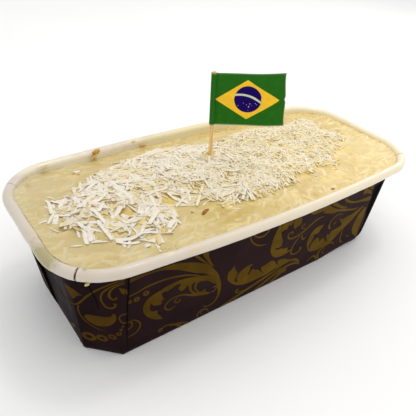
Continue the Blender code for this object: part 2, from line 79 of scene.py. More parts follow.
def gridQuads(rows, columns, wrapColumns=False, first=0):
    # vertex (r, c) has the number first + r * columns + c
    r, c = np.meshgrid(np.arange(rows - 1), np.arange(columns if wrapColumns else columns - 1), indexing="ij")
    d = (c + 1) % columns
    quads = np.stack([r * columns + c, r * columns + d, (r + 1) * columns + d, (r + 1) * columns + c], -1)
    return quads.reshape(-1, 4) + first


def loftFaces(rows, columns, first=0):
    # closed surface through rings, with a fan at each end round a last vertex
    quads = gridQuads(rows, columns, True, first)
    c = np.arange(columns)
    d = (c + 1) % columns
    low = first + rows * columns
    top = first + (rows - 1) * columns
    fans = [np.stack([d + first, c + first, c * 0 + low], -1), np.stack([top + c, top + d, c * 0 + low + 1], -1)]
    return quads, np.concatenate(fans)


def loftPoints(rings):
    # the rings' points, then the middles of the first and of the last ring
    middles = np.stack([rings[0].mean(0), rings[-1].mean(0)])
    return np.concatenate([rings.reshape(-1, 3), middles])


def boardFaces(rows, columns, first=0):
    # thin closed sheet: an outer and an inner grid of the same size, joined along the border
    outer = gridQuads(rows, columns, False, first)
    far = rows * columns
    inner = gridQuads(rows, columns, False, first + far)[:, ::-1]
    number = np.arange(rows * columns).reshape(rows, columns) + first
    loop = np.concatenate([number[0], number[1:, -1], number[-1, -2::-1], number[-2:0:-1, 0]])
    after = np.roll(loop, -1)
    border = np.stack([after, loop, loop + far, after + far], -1)
    return np.concatenate([outer, inner, border])


def gridNormals(grid):
    # cross product of the two directions of the grid
    alongRows = np.gradient(grid, axis=0)
    alongColumns = np.gradient(grid, axis=1)
    normal = np.cross(alongColumns, alongRows)
    return normal / np.maximum(np.linalg.norm(normal, axis=-1, keepdims=True), 1e-12)


def valueNoise(x, y, size, seed):
    # random heights on a square lattice, joined by smooth steps: -1 to 1
    table = np.random.default_rng(seed).uniform(-1, 1, (64, 64))
    cellX = np.floor(x / size).astype(int)
    cellY = np.floor(y / size).astype(int)
    shareX = x / size - cellX
    shareY = y / size - cellY
    shareX = shareX * shareX * (3 - 2 * shareX)
    shareY = shareY * shareY * (3 - 2 * shareY)
    low = table[cellX % 64, cellY % 64] * (1 - shareX) + table[(cellX + 1) % 64, cellY % 64] * shareX
    high = table[cellX % 64, (cellY + 1) % 64] * (1 - shareX)
    high = high + table[(cellX + 1) % 64, (cellY + 1) % 64] * shareX
    return low * (1 - shareY) + high * shareY


def smoothStep(value, low, high):
    share = np.clip((value - low) / (high - low), 0, 1)
    return share * share * (3 - 2 * share)


def smoothPath(points, steps):
    # Catmull-Rom curve through the points: each span is a cubic that passes its two ends
    points = np.asarray(points, float)
    padded = np.concatenate([2 * points[:1] - points[1:2], points, 2 * points[-1:] - points[-2:-1]])
    share = np.linspace(0, 1, steps, endpoint=False)[None, :, None]
    a, b, c, d = (padded[i:len(padded) - 3 + i, None, :] for i in range(4))
    curve = 2 * b + (c - a) * share + (2 * a - 5 * b + 4 * c - d) * share ** 2
    curve = (curve + (3 * b - a - 3 * c + d) * share ** 3) / 2
    return np.concatenate([curve.reshape(-1, points.shape[1]), points[-1:]])


def onRoot(piece, slotName, *nodes):
    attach(piece, "root")
    if nodes:
        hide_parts(*nodes)
    return piece


def addNode(tree, kind, values=None, links=None, **settings):
    node = tree.nodes.new(kind)
    for key, value in settings.items():
        setattr(node, key, value)
    for key, value in (values or {}).items():
        node.inputs[key].default_value = value
    for key, source in (links or {}).items():
        tree.links.new(source, node.inputs[key])
    return node


def newGroup(name, inputs, outputs):
    group = bpy.data.node_groups.new(name, "ShaderNodeTree")
    kinds = {"value": "NodeSocketFloat", "colour": "NodeSocketColor", "vector": "NodeSocketVector"}
    for label, kind, start in inputs:
        socket = group.interface.new_socket(name=label, in_out="INPUT", socket_type=kinds[kind])
        if start is not None:
            socket.default_value = start
    for label, kind in outputs:
        group.interface.new_socket(name=label, in_out="OUTPUT", socket_type=kinds[kind])
    return group, group.nodes.new("NodeGroupInput").outputs, group.nodes.new("NodeGroupOutput").inputs


def mixColours(tree, share, first, second, blend="MIX"):
    # share, first and second are each a socket or a plain value
    node = tree.nodes.new("ShaderNodeMix")
    node.data_type = "RGBA"
    node.blend_type = blend
    for place, thing in ((0, share), (6, first), (7, second)):
        if isinstance(thing, bpy.types.NodeSocket):
            tree.links.new(thing, node.inputs[place])
        else:
            node.inputs[place].default_value = thing if place == 0 else (*thing, 1)
    return node.outputs[2]


def makeMottle():
    # patches of a second colour: noise squeezed between two levels
    group, source, result = newGroup(
        "mottle",
        [("Vector", "vector", None), ("Scale", "value", 100.0), ("Detail", "value", 4.0),
         ("Low", "value", 0.4), ("High", "value", 0.6),
         ("First", "colour", (1, 1, 1, 1)), ("Second", "colour", (0, 0, 0, 1))],
        [("Colour", "colour"), ("Mask", "value")],
    )
    noise = addNode(group, "ShaderNodeTexNoise", links={
        "Vector": source["Vector"], "Scale": source["Scale"], "Detail": source["Detail"]})
    level = addNode(group, "ShaderNodeMapRange", links={
        "Value": noise.outputs["Fac"], "From Min": source["Low"], "From Max": source["High"]})
    group.links.new(mixColours(group, level.outputs[0], source["First"], source["Second"]), result["Colour"])
    group.links.new(level.outputs[0], result["Mask"])
    return group


def makeRelief():
    # height of a surface: a coarse noise and a fine one, each times its height
    group, source, result = newGroup(
        "relief",
        [("Vector", "vector", None), ("Coarse scale", "value", 200.0), ("Coarse height", "value", 1.0),
         ("Fine scale", "value", 1500.0), ("Fine height", "value", 0.3)],
        [("Height", "value")],
    )
    heights = []
    for size in ("Coarse", "Fine"):
        noise = addNode(group, "ShaderNodeTexNoise", {"Detail": 3.0}, {
            "Vector": source["Vector"], "Scale": source[size + " scale"]})
        times = addNode(group, "ShaderNodeMath", operation="MULTIPLY")
        group.links.new(noise.outputs["Fac"], times.inputs[0])
        group.links.new(source[size + " height"], times.inputs[1])
        heights.append(times.outputs[0])
    total = addNode(group, "ShaderNodeMath", operation="ADD")
    group.links.new(heights[0], total.inputs[0])
    group.links.new(heights[1], total.inputs[1])
    group.links.new(total.outputs[0], result["Height"])
    return group


def makeSpot():
    # 1 inside a stretched ball, falling to 0 at its edge, with an uneven outline
    group, source, result = newGroup(
        "spot",
        [("Vector", "vector", None), ("Centre", "vector", (0, 0, 0)), ("Size", "vector", (1, 1, 1)),
         ("Edge", "value", 0.4), ("Unevenness", "value", 0.3)],
        [("Mask", "value")],
    )
    away = addNode(group, "ShaderNodeVectorMath", operation="SUBTRACT")
    group.links.new(source["Vector"], away.inputs[0])
    group.links.new(source["Centre"], away.inputs[1])
    scaled = addNode(group, "ShaderNodeVectorMath", operation="DIVIDE")
    group.links.new(away.outputs[0], scaled.inputs[0])
    group.links.new(source["Size"], scaled.inputs[1])
    reach = addNode(group, "ShaderNodeVectorMath", operation="LENGTH")
    group.links.new(scaled.outputs[0], reach.inputs[0])
    noise = addNode(group, "ShaderNodeTexNoise", {"Scale": 260.0}, {"Vector": source["Vector"]})
    uneven = addNode(group, "ShaderNodeMath", {1: 0.5}, operation="SUBTRACT")
    group.links.new(noise.outputs["Fac"], uneven.inputs[0])
    shaped = addNode(group, "ShaderNodeMath", operation="MULTIPLY_ADD")
    group.links.new(uneven.outputs[0], shaped.inputs[0])
    group.links.new(source["Unevenness"], shaped.inputs[1])
    group.links.new(reach.outputs["Value"], shaped.inputs[2])
    inner = addNode(group, "ShaderNodeMath", {0: 1.0}, operation="SUBTRACT")
    group.links.new(source["Edge"], inner.inputs[1])
    mask = addNode(group, "ShaderNodeMapRange", {"From Max": 1.0, "To Min": 1.0, "To Max": 0.0}, {
        "Value": shaped.outputs[0], "From Min": inner.outputs[0]})
    group.links.new(mask.outputs[0], result["Mask"])
    return group


groups = {"mottle": makeMottle(), "relief": makeRelief(), "spot": makeSpot()}


def useGroup(tree, kind, values, links):
    node = addNode(tree, "ShaderNodeGroup", node_tree=groups[kind])
    for key, value in values.items():
        node.inputs[key].default_value = value
    for key, source in links.items():
        tree.links.new(source, node.inputs[key])
    return node


def newMaterial(name, **constants):
    # constants are set on the shader's own sockets
    material = bpy.data.materials.new(name)
    material.use_nodes = True
    tree = material.node_tree
    shader = tree.nodes["Principled BSDF"]
    for key, value in constants.items():
        shader.inputs[key.replace("_", " ")].default_value = value
    place = addNode(tree, "ShaderNodeTexCoord").outputs["Object"]
    return material, tree, shader, place


def addBump(tree, shader, place, distance, coarse, fine, strength=1.0):
    relief = useGroup(tree, "relief", {
        "Coarse scale": coarse[0], "Coarse height": coarse[1], "Fine scale": fine[0], "Fine height": fine[1]},
        {"Vector": place})
    bump = addNode(tree, "ShaderNodeBump", {"Strength": strength, "Distance": distance}, {
        "Height": relief.outputs["Height"]})
    tree.links.new(bump.outputs["Normal"], shader.inputs["Normal"])


def addRoughness(tree, shader, place, scale, low, high):
    noise = addNode(tree, "ShaderNodeTexNoise", {"Scale": scale, "Detail": 3.0}, {"Vector": place})
    level = addNode(tree, "ShaderNodeMapRange", {"From Min": 0.35, "From Max": 0.65, "To Min": low, "To Max": high}, {
        "Value": noise.outputs["Fac"]})
    tree.links.new(level.outputs[0], shader.inputs["Roughness"])


def alongX(tree, place, low, high):
    # 0 at the left place, 1 at the right one
    parts = addNode(tree, "ShaderNodeSeparateXYZ", links={"Vector": place})
    return addNode(tree, "ShaderNodeMapRange", {"From Min": low, "From Max": high}, {
        "Value": parts.outputs["X"]}).outputs[0]


def makePrintedBoard():
    material, tree, shader, place = newMaterial(
        "printedBoard", Specular_IOR_Level=0.01)
    patches = useGroup(tree, "mottle", {
        "Scale": 60.0, "Low": 0.35, "High": 0.7, "First": (0.0225, 0.0102, 0.0106, 1),
        "Second": (0.030, 0.0150, 0.0146, 1)}, {"Vector": place})
    fibres = useGroup(tree, "mottle", {
        "Scale": 900.0, "Low": 0.55, "High": 0.75, "First": (1, 1, 1, 1), "Second": (1.35, 1.3, 1.3, 1)},
        {"Vector": place})
    colour = mixColours(tree, 1.0, patches.outputs["Colour"], fibres.outputs["Colour"], "MULTIPLY")
    # painted highlight: the fold along the base is lightened where light catches the crease
    parts = addNode(tree, "ShaderNodeSeparateXYZ", links={"Vector": place})
    low = addNode(tree, "ShaderNodeMapRange", {
        "From Min": 0.0022, "From Max": 0.0008, "To Min": 0.0, "To Max": 0.5}, {"Value": parts.outputs["Z"]})
    # painted shade: the board is darkened towards the left end, and most on the end itself, which lies in shade
    paintedLeftShade = mixColours(tree, alongX(tree, place, -0.10, 0.0), (0.55, 0.50, 0.60), (1, 1, 1))
    colour = mixColours(tree, 1.0, colour, paintedLeftShade, "MULTIPLY")
    paintedEndShade = mixColours(tree, alongX(tree, place, -0.100, -0.086), (0.50, 0.44, 0.60), (1, 1, 1))
    colour = mixColours(tree, 1.0, colour, paintedEndShade, "MULTIPLY")
    paintedCreaseHighlight = mixColours(tree, low.outputs[0], colour, (0.05, 0.035, 0.033))
    tree.links.new(paintedCreaseHighlight, shader.inputs["Base Color"])
    addRoughness(tree, shader, place, 90.0, 0.36, 0.5)
    addBump(tree, shader, place, 0.00004, (140.0, 1.0), (1300.0, 0.35))
    return material


def makeGoldPrint():
    material, tree, shader, place = newMaterial(
        "goldPrint", Specular_IOR_Level=0.012)
    patches = useGroup(tree, "mottle", {
        "Scale": 110.0, "Low": 0.35, "High": 0.68, "First": (0.125, 0.070, 0.006, 1),
        "Second": (0.088, 0.049, 0.004, 1)}, {"Vector": place})
    # painted shade: the gold is darkened towards the left end, like the board
    paintedLeftShade = mixColours(tree, alongX(tree, place, -0.10, 0.0), (0.55, 0.48, 0.40), (1, 1, 1))
    colour = mixColours(tree, 1.0, patches.outputs["Colour"], paintedLeftShade, "MULTIPLY")
    tree.links.new(colour, shader.inputs["Base Color"])
    addRoughness(tree, shader, place, 120.0, 0.38, 0.52)
    addBump(tree, shader, place, 0.00004, (140.0, 1.0), (1300.0, 0.35))
    return material


def makeRimBoard():
    material, tree, shader, place = newMaterial(
        "rimBoard", Specular_IOR_Level=0.5, Coat_Weight=0.5, Coat_Roughness=0.1)
    # painted light: the rim's board is darker at the left end and lighter towards the right, where the light falls; it
    # is also yellower there
    share = alongX(tree, place, -0.1, 0.09)
    base = mixColours(tree, share, (0.60, 0.53, 0.445), (0.88, 0.77, 0.55))
    dirt = useGroup(tree, "mottle", {
        "Scale": 70.0, "Low": 0.52, "High": 0.78, "First": (1, 1, 1, 1), "Second": (0.95, 0.91, 0.78, 1)},
        {"Vector": place})
    colour = mixColours(tree, 1.0, base, dirt.outputs["Colour"], "MULTIPLY")
    # grease has soaked into the board at the left end, and custard has stained the far side
    stains = (
        ((-0.1020, -0.0205, 0.0530), (0.0060, 0.0105, 0.009), (0.37, 0.32, 0.15), 1.0),
        ((-0.0800, 0.0400, 0.0530), (0.0500, 0.0060, 0.0045), (0.86, 0.80, 0.60), 0.6),
        ((0.0300, 0.0430, 0.0530), (0.0800, 0.0060, 0.0045), (0.82, 0.72, 0.40), 0.8),
        ((-0.0630, -0.0400, 0.0540), (0.0030, 0.0040, 0.004), (0.80, 0.72, 0.42), 0.8),
    )
    for centre, size, tint, weight in stains:
        spot = useGroup(tree, "spot", {"Centre": centre, "Size": size, "Edge": 0.55, "Unevenness": 1.0}, {
            "Vector": place})
        share = addNode(tree, "ShaderNodeMath", {1: weight}, operation="MULTIPLY")
        tree.links.new(spot.outputs["Mask"], share.inputs[0])
        colour = mixColours(tree, share.outputs[0], colour, tint)
    tree.links.new(colour, shader.inputs["Base Color"])
    addRoughness(tree, shader, place, 130.0, 0.3, 0.5)
    addBump(tree, shader, place, 0.00005, (260.0, 1.0), (1500.0, 0.2))
    return material


def makePaintedShade():
    # painted shadow: a near-black finish for the slits behind the outer layer, the shaded corner and flap end, and the
    # crease lines, where shade falls
    material, tree, shader, place = newMaterial("paintedShadeRecess", Roughness=0.9, Specular_IOR_Level=0.05)
    patches = useGroup(tree, "mottle", {
        "Scale": 200.0, "Low": 0.3, "High": 0.7, "First": (0.0018, 0.0012, 0.0012, 1),
        "Second": (0.0030, 0.0020, 0.0020, 1)}, {"Vector": place})
    tree.links.new(patches.outputs["Colour"], shader.inputs["Base Color"])
    return material


def makeBoardCore():
    material, tree, shader, place = newMaterial("boardCore", Roughness=0.8)
    patches = useGroup(tree, "mottle", {
        "Scale": 900.0, "Low": 0.4, "High": 0.65, "First": (0.20, 0.16, 0.15, 1),
        "Second": (0.10, 0.075, 0.07, 1)}, {"Vector": place})
    tree.links.new(patches.outputs["Colour"], shader.inputs["Base Color"])
    return material


def makeCustard():
    # baked custard with grated coconut in it; fibre and topping are shares kept on the surface
    material, tree, shader, place = newMaterial(
        "bakedCustard", Specular_IOR_Level=0.5, Coat_Weight=0.5, Coat_Roughness=0.12,
        Subsurface_Weight=0.2, Subsurface_Scale=0.003)
    # painted light: the custard, its fibres and the custard under the coconut are darker at the left end and lighter
    # towards the right, where the light falls; it is also more golden there
    share = alongX(tree, place, -0.09, 0.06)
    base = mixColours(tree, share, (0.550, 0.440, 0.195), (0.650, 0.468, 0.122))
    patches = useGroup(tree, "mottle", {
        "Scale": 55.0, "Low": 0.42, "High": 0.66, "First": (1, 1, 1, 1), "Second": (0.93, 0.88, 0.70, 1)},
        {"Vector": place})
    colour = mixColours(tree, 1.0, base, patches.outputs["Colour"], "MULTIPLY")
    browned = useGroup(tree, "mottle", {
        "Scale": 210.0, "Low": 0.66, "High": 0.80, "First": (1, 1, 1, 1), "Second": (0.90, 0.74, 0.44, 1)},
        {"Vector": place})
    colour = mixColours(tree, 1.0, colour, browned.outputs["Colour"], "MULTIPLY")
    stretched = addNode(tree, "ShaderNodeMapping", {"Rotation": (0, 0, 0.25), "Scale": (0.45, 1.0, 1.0)}, {
        "Vector": place})
    curds = useGroup(tree, "mottle", {
        "Scale": 170.0, "Low": 0.50, "High": 0.64, "First": (1, 1, 1, 1), "Second": (1.15, 1.18, 1.34, 1)},
        {"Vector": stretched.outputs[0]})
    colour = mixColours(tree, 1.0, colour, curds.outputs["Colour"], "MULTIPLY")
    golden = useGroup(tree, "mottle", {
        "Scale": 32.0, "Low": 0.54, "High": 0.72, "First": (1, 1, 1, 1), "Second": (0.95, 0.90, 0.66, 1)},
        {"Vector": place})
    colour = mixColours(tree, 1.0, colour, golden.outputs["Colour"], "MULTIPLY")
    fibre = addNode(tree, "ShaderNodeAttribute", attribute_name="fibre")
    light = mixColours(tree, share, (0.66, 0.575, 0.37), (0.88, 0.73, 0.37))
    colour = mixColours(tree, fibre.outputs["Fac"], colour, light)
    topping = addNode(tree, "ShaderNodeAttribute", attribute_name="topping")
    under = mixColours(tree, share, (0.64, 0.50, 0.20), (0.86, 0.65, 0.21))
    colour = mixColours(tree, topping.outputs["Fac"], colour, under)
    # golden places where syrup stands in the surface
    syrup = (((0.0722, -0.0105, 0.0530), (0.0100, 0.0085, 0.008), 0.7),
             ((-0.0652, -0.0142, 0.0545), (0.0070, 0.0058, 0.008), 0.9),
             ((-0.0436, -0.0133, 0.0550), (0.0075, 0.0058, 0.008), 0.9),
             ((-0.0285, -0.0115, 0.0550), (0.0055, 0.0055, 0.008), 0.8))
    for centre, size, weight in syrup:
        spot = useGroup(tree, "spot", {"Centre": centre, "Size": size, "Edge": 0.7, "Unevenness": 1.0}, {
            "Vector": place})
        part = addNode(tree, "ShaderNodeMath", {1: weight}, operation="MULTIPLY")
        tree.links.new(spot.outputs["Mask"], part.inputs[0])
        colour = mixColours(tree, part.outputs[0], colour, (0.70, 0.50, 0.105))
    tree.links.new(colour, shader.inputs["Base Color"])
    shader.inputs["Subsurface Radius"].default_value = (1.0, 0.75, 0.4)
    addRoughness(tree, shader, place, 160.0, 0.24, 0.46)
    addBump(tree, shader, place, 0.0003, (230.0, 1.0), (1100.0, 0.15), 0.5)
    return material


def makeCoconut():
    # tone is one number per shred: painted shade makes the shreds dropped first, which lie lowest, duller and more
    # golden, and a random part makes neighbours differ
    material, tree, shader, place = newMaterial(
        "coconut", Roughness=0.5, Specular_IOR_Level=0.3, Subsurface_Weight=0.08, Subsurface_Scale=0.0006)
    # painted light: the coconut is lighter towards the right end, where the light falls; it is also creamier there
    share = alongX(tree, place, -0.08, 0.03)
    shadeAndTone = addNode(tree, "ShaderNodeAttribute", attribute_name="shadeAndTone")
    plain = mixColours(tree, share, (0.80, 0.75, 0.67), (0.87, 0.80, 0.62))
    lowShadeAndTone = mixColours(tree, share, (0.68, 0.55, 0.27), (0.86, 0.67, 0.28))
    colour = mixColours(tree, shadeAndTone.outputs["Fac"], plain, lowShadeAndTone)
    streaks = useGroup(tree, "mottle", {
        "Scale": 700.0, "Low": 0.4, "High": 0.75, "First": (1, 1, 1, 1), "Second": (0.93, 0.90, 0.83, 1)},
        {"Vector": place})
    colour = mixColours(tree, 1.0, colour, streaks.outputs["Colour"], "MULTIPLY")
    tree.links.new(colour, shader.inputs["Base Color"])
    shader.inputs["Subsurface Radius"].default_value = (1.0, 0.9, 0.7)
    addBump(tree, shader, place, 0.0001, (900.0, 1.0), (2600.0, 0.5))
    return material


def makePickWood():
    # grain runs along the pick: noise stretched lengthwise
    material, tree, shader, place = newMaterial("pickWood", Specular_IOR_Level=0.35)
    stretched = addNode(tree, "ShaderNodeMapping", {"Scale": (1.0, 1.0, 0.05)}, {"Vector": place})
    grain = useGroup(tree, "mottle", {
        "Scale": 1700.0, "Low": 0.38, "High": 0.66, "First": (0.90, 0.62, 0.27, 1),
        "Second": (0.66, 0.40, 0.15, 1)}, {"Vector": stretched.outputs[0]})
    broad = useGroup(tree, "mottle", {
        "Scale": 500.0, "Low": 0.4, "High": 0.7, "First": (1, 1, 1, 1), "Second": (1.12, 1.1, 1.05, 1)},
        {"Vector": stretched.outputs[0]})
    colour = mixColours(tree, 1.0, grain.outputs["Colour"], broad.outputs["Colour"], "MULTIPLY")
    tree.links.new(colour, shader.inputs["Base Color"])
    addRoughness(tree, shader, place, 400.0, 0.5, 0.7)
    relief = useGroup(tree, "relief", {
        "Coarse scale": 900.0, "Coarse height": 1.0, "Fine scale": 2600.0, "Fine height": 0.6},
        {"Vector": stretched.outputs[0]})
    bump = addNode(tree, "ShaderNodeBump", {"Distance": 0.00006}, {"Height": relief.outputs["Height"]})
    tree.links.new(bump.outputs["Normal"], shader.inputs["Normal"])
    return material


def makeCrust(name, light, dark):
    material, tree, shader, place = newMaterial(name, Specular_IOR_Level=0.25)
    patches = useGroup(tree, "mottle", {
        "Scale": 500.0, "Low": 0.38, "High": 0.62, "First": (*light, 1), "Second": (*dark, 1)}, {"Vector": place})
    tree.links.new(patches.outputs["Colour"], shader.inputs["Base Color"])
    addRoughness(tree, shader, place, 400.0, 0.35, 0.55)
    addBump(tree, shader, place, 0.0002, (900.0, 1.0), (2500.0, 0.4))
    return material


flagPrint = {
    "aspect": 1.345, "lozenge": (0.4775, 0.509, 0.4490, 0.3790), "disc": (0.4840, 0.520, 0.254),
    "band": (-0.1429, -0.5, 0.5893, 0.0185), "green": (0.0175, 0.131, 0.0085),
    "yellow": (0.90, 0.55, 0.032), "indigo": (0.0085, 0.0004, 0.105), "pale": (0.60, 0.66, 0.50),
}


def makeFlagPaper():
    # fields of colour on the sheet's own map: a lozenge is |u| + |v| < 1, a disc and a band are lengths
    material, tree, shader, place = newMaterial(
        "flagPaper", Specular_IOR_Level=0.06)
    sheetMap = addNode(tree, "ShaderNodeUVMap", uv_map="sheet")
    parts = addNode(tree, "ShaderNodeSeparateXYZ", links={"Vector": sheetMap.outputs["UV"]})

    def calc(operation, *things):
        node = tree.nodes.new("ShaderNodeMath")
        node.operation = operation
        for place, thing in enumerate(things):
            if isinstance(thing, (int, float)):
                node.inputs[place].default_value = thing
            else:
                tree.links.new(thing, node.inputs[place])
        return node.outputs[0]

    def soften(distance, edge):
        # 1 where the distance is below zero, across a narrow edge
        return addNode(tree, "ShaderNodeMapRange", {
            "From Min": edge, "From Max": -edge, "To Min": 0.0, "To Max": 1.0}, {"Value": distance}).outputs[0]

    middleU, middleV, halfU, halfV = flagPrint["lozenge"]
    away = calc("ABSOLUTE", calc("SUBTRACT", parts.outputs["X"], middleU))
    up = calc("ABSOLUTE", calc("SUBTRACT", parts.outputs["Y"], middleV))
    lozenge = calc("SUBTRACT", calc("ADD", calc("DIVIDE", away, halfU), calc("DIVIDE", up, halfV)), 1.0)
    discU, discV, radius = flagPrint["disc"]
    fromDiscX = calc("MULTIPLY", calc("SUBTRACT", parts.outputs["X"], discU), flagPrint["aspect"])
    fromDiscY = calc("SUBTRACT", parts.outputs["Y"], discV)

    def lengthOf(x, y):
        return calc("SQRT", calc("ADD", calc("MULTIPLY", x, x), calc("MULTIPLY", y, y)))

    disc = calc("SUBTRACT", lengthOf(fromDiscX, fromDiscY), radius)
    bandX, bandY, bandRadius, bandHalf = flagPrint["band"]
    ring = lengthOf(calc("SUBTRACT", fromDiscX, bandX), calc("SUBTRACT", fromDiscY, bandY))
    band = calc("SUBTRACT", calc("ABSOLUTE", calc("SUBTRACT", ring, bandRadius)), bandHalf)
    # tiny pale dots, most of them in the lower half
    cells = addNode(tree, "ShaderNodeTexVoronoi", {"Scale": 27.0, "Randomness": 0.9}, {
        "Vector": sheetMap.outputs["UV"]})
    dot = soften(calc("SUBTRACT", cells.outputs["Distance"], 0.20), 0.06)
    rare = addNode(tree, "ShaderNodeSeparateXYZ", links={"Vector": cells.outputs["Color"]})
    chosen = calc("GREATER_THAN", rare.outputs["X"], 0.42)
    below = soften(calc("ADD", fromDiscY, 0.035), 0.004)
    within = soften(calc("ADD", disc, 0.03), 0.004)
    dots = calc("MULTIPLY", calc("MULTIPLY", dot, chosen), calc("MULTIPLY", below, within))
    colour = mixColours(tree, soften(lozenge, 0.006), flagPrint["green"], flagPrint["yellow"])
    colour = mixColours(tree, soften(disc, 0.004), colour, flagPrint["indigo"])
    insideBand = calc("MULTIPLY", soften(band, 0.004), soften(disc, 0.004))
    colour = mixColours(tree, insideBand, colour, flagPrint["pale"])
    colour = mixColours(tree, dots, colour, (0.50, 0.48, 0.60))
    worn = useGroup(tree, "mottle", {
        "Scale": 320.0, "Low": 0.45, "High": 0.8, "First": (1, 1, 1, 1), "Second": (1.25, 1.2, 1.15, 1)},
        {"Vector": place})
    colour = mixColours(tree, 1.0, colour, worn.outputs["Colour"], "MULTIPLY")
    # the cut edges show the bare paper
    bare = addNode(tree, "ShaderNodeAttribute", attribute_name="cutEdge")
    colour = mixColours(tree, bare.outputs["Fac"], colour, (0.55, 0.60, 0.45))
    tree.links.new(colour, shader.inputs["Base Color"])
    addRoughness(tree, shader, place, 300.0, 0.42, 0.58)
    addBump(tree, shader, place, 0.00004, (300.0, 1.0), (2200.0, 0.25))
    return material


finishes = {
    "board": makePrintedBoard(), "gold": makeGoldPrint(), "rim": makeRimBoard(), "core": makeBoardCore(),
    "paintedShade": makePaintedShade(),
    "custard": makeCustard(), "coconut": makeCoconut(), "wood": makePickWood(),
    "crust": makeCrust("brownedCrust", (0.68, 0.40, 0.055), (0.44, 0.20, 0.028)),
    "burnt": makeCrust("burntCrust", (0.40, 0.16, 0.030), (0.20, 0.065, 0.012)),
    "flag": makeFlagPaper(),
}
print("materials made")


# the paper case: lengths in metres, places round it by turn, which runs from 0 to 8
caseShape = {
    "baseHalf": (0.0912, 0.0359), "baseRadius": 0.0188, "rimHalf": (0.1000, 0.0390), "rimRadius": 0.0206,
    "longBulge": 0.0050, "endBulge": 0.0007, "rimHeight": 0.0519, "curlRadius": 0.0032, "board": 0.0007,
    "foldCut": 0.0121, "foldBends": (0.27, 0.73),
    "dentTurns": (0.80, 0.94, 1.90, 2.35), "dentDepth": 0.0004, "dentFade": 0.0070,
    "dentRounding": 0.0022, "dentRoundingHeight": 0.0050,
    "rollRadius": 0.00245, "rollOut": 0.00058, "rollHeight": 0.05190, "rollTilt": 0.0004, "rollBoard": 0.0004,
    "lean": 0.0009, "leanFrom": 0.0440, "leanTo": 0.0512,
}


def outlineAt(turn, half, radius, cut=0.0):
    # rounded rectangle: turn 0 to 8, even spans are sides, odd spans quarter circles (or folded flat)
    turn = np.mod(np.asarray(turn, float), 8.0)
    span = np.minimum(np.floor(turn), 7).astype(int)
    along = (turn - span)[..., None]
    quarter = span // 2
    signs = np.array([(1, -1), (1, 1), (-1, 1), (-1, -1)], float)
    middle = np.array([half[0] - radius, half[1] - radius])
    start = np.radians(90.0 * quarter - 90.0)

    def onCorner(index, angle):
        return signs[index % 4] * middle + radius * np.stack([np.cos(angle), np.sin(angle)], -1)

    sideStart = onCorner(quarter - 1, start)
    cornerStart = onCorner(quarter, start)
    cornerEnd = onCorner(quarter, start + math.pi / 2)
    side = sideStart + (cornerStart - sideStart) * along
    corner = onCorner(quarter, start + along[..., 0] * math.pi / 2)
    if cut:
        tip = signs[quarter] * np.array(half)
        bendA = tip + (cornerStart - tip) * cut / radius
        bendB = tip + (cornerEnd - tip) * cut / radius
        first, last = caseShape["foldBends"]
        folded = np.where(
            along < first, cornerStart + (bendA - cornerStart) * along / first,
            np.where(along < last, bendA + (bendB - bendA) * (along - first) / (last - first),
                     bendB + (cornerEnd - bendB) * (along - last) / (1 - last)))
        corner = np.where((quarter % 2 == 1)[..., None], folded, corner)
    return np.where((span % 2 == 0)[..., None], side, corner)


def rimLine(turn):
    # rounded rectangle whose sides bulge outwards by 1 - (place / half length) squared
    point = outlineAt(turn, caseShape["rimHalf"], caseShape["rimRadius"])
    halfX, halfY = caseShape["rimHalf"]
    x = point[..., 0] * (1 + caseShape["endBulge"] / halfX * (1 - (point[..., 1] / halfY) ** 2))
    y = point[..., 1] * (1 + caseShape["longBulge"] / halfY * (1 - (point[..., 0] / halfX) ** 2))
    return np.stack([x, y], -1)


def baseLine(turn):
    return outlineAt(turn, caseShape["baseHalf"], caseShape["baseRadius"], caseShape["foldCut"])


def outwardOf(line, turn):
    along = line(turn + 0.01) - line(turn - 0.01)
    along /= np.linalg.norm(along, axis=-1, keepdims=True)
    return np.stack([along[..., 1], -along[..., 0]], -1)


def dentRamp(turn):
    a, b, c, d = caseShape["dentTurns"]
    turn = np.mod(turn, 8.0)
    return np.clip(np.minimum((turn - a) / (b - a), (d - turn) / (d - c)), 0, 1)


def dentAt(turn, height):
    # how far the near right corner is pushed in, fading out under the rim
    fade = np.clip((caseShape["rimHeight"] - height) / caseShape["dentFade"], 0, 1)
    return caseShape["dentDepth"] * dentRamp(turn) * fade


def wallAt(baseTurn, rimTurn, height, out=0.0, dented=1.0):
    # straight line from the base outline to the wall's top, moved out square to it
    height = np.asarray(height, float) + 0 * (baseTurn + rimTurn)
    share = height / caseShape["rimHeight"]
    turn = baseTurn + (rimTurn - baseTurn) * share
    inset = caseShape["curlRadius"] - caseShape["board"]
    top = rimLine(turn) - outwardOf(rimLine, turn) * inset
    share = share[..., None]
    flat = baseLine(turn) * (1 - share) + top * share
    normal = outwardOf(baseLine, turn) * (1 - share) + outwardOf(rimLine, turn) * share
    normal /= np.linalg.norm(normal, axis=-1, keepdims=True)
    low = np.clip(1 - height / caseShape["dentRoundingHeight"], 0, 1)
    moved = out - dented * dentAt(turn, height) - caseShape["dentRounding"] * dentRamp(turn) * low * low
    # under the rim the board leans out to meet the roll
    moved = moved + caseShape["lean"] * smoothStep(height, caseShape["leanFrom"], caseShape["leanTo"])
    flat = flat + normal * np.asarray(moved)[..., None]
    return np.concatenate([flat, height[..., None]], -1)


# length in metres along the wall's top from the near side's middle, for each turn
fineTurns = np.linspace(-4, 12, 32001)
topLine = rimLine(fineTurns) - outwardOf(rimLine, fineTurns) * (caseShape["curlRadius"] - caseShape["board"])
topLength = np.concatenate([[0], np.cumsum(np.linalg.norm(np.diff(topLine, axis=0), axis=1))])
topLength -= np.interp(0.5, fineTurns, topLength)
halfWay = np.interp(4.5, fineTurns, topLength)

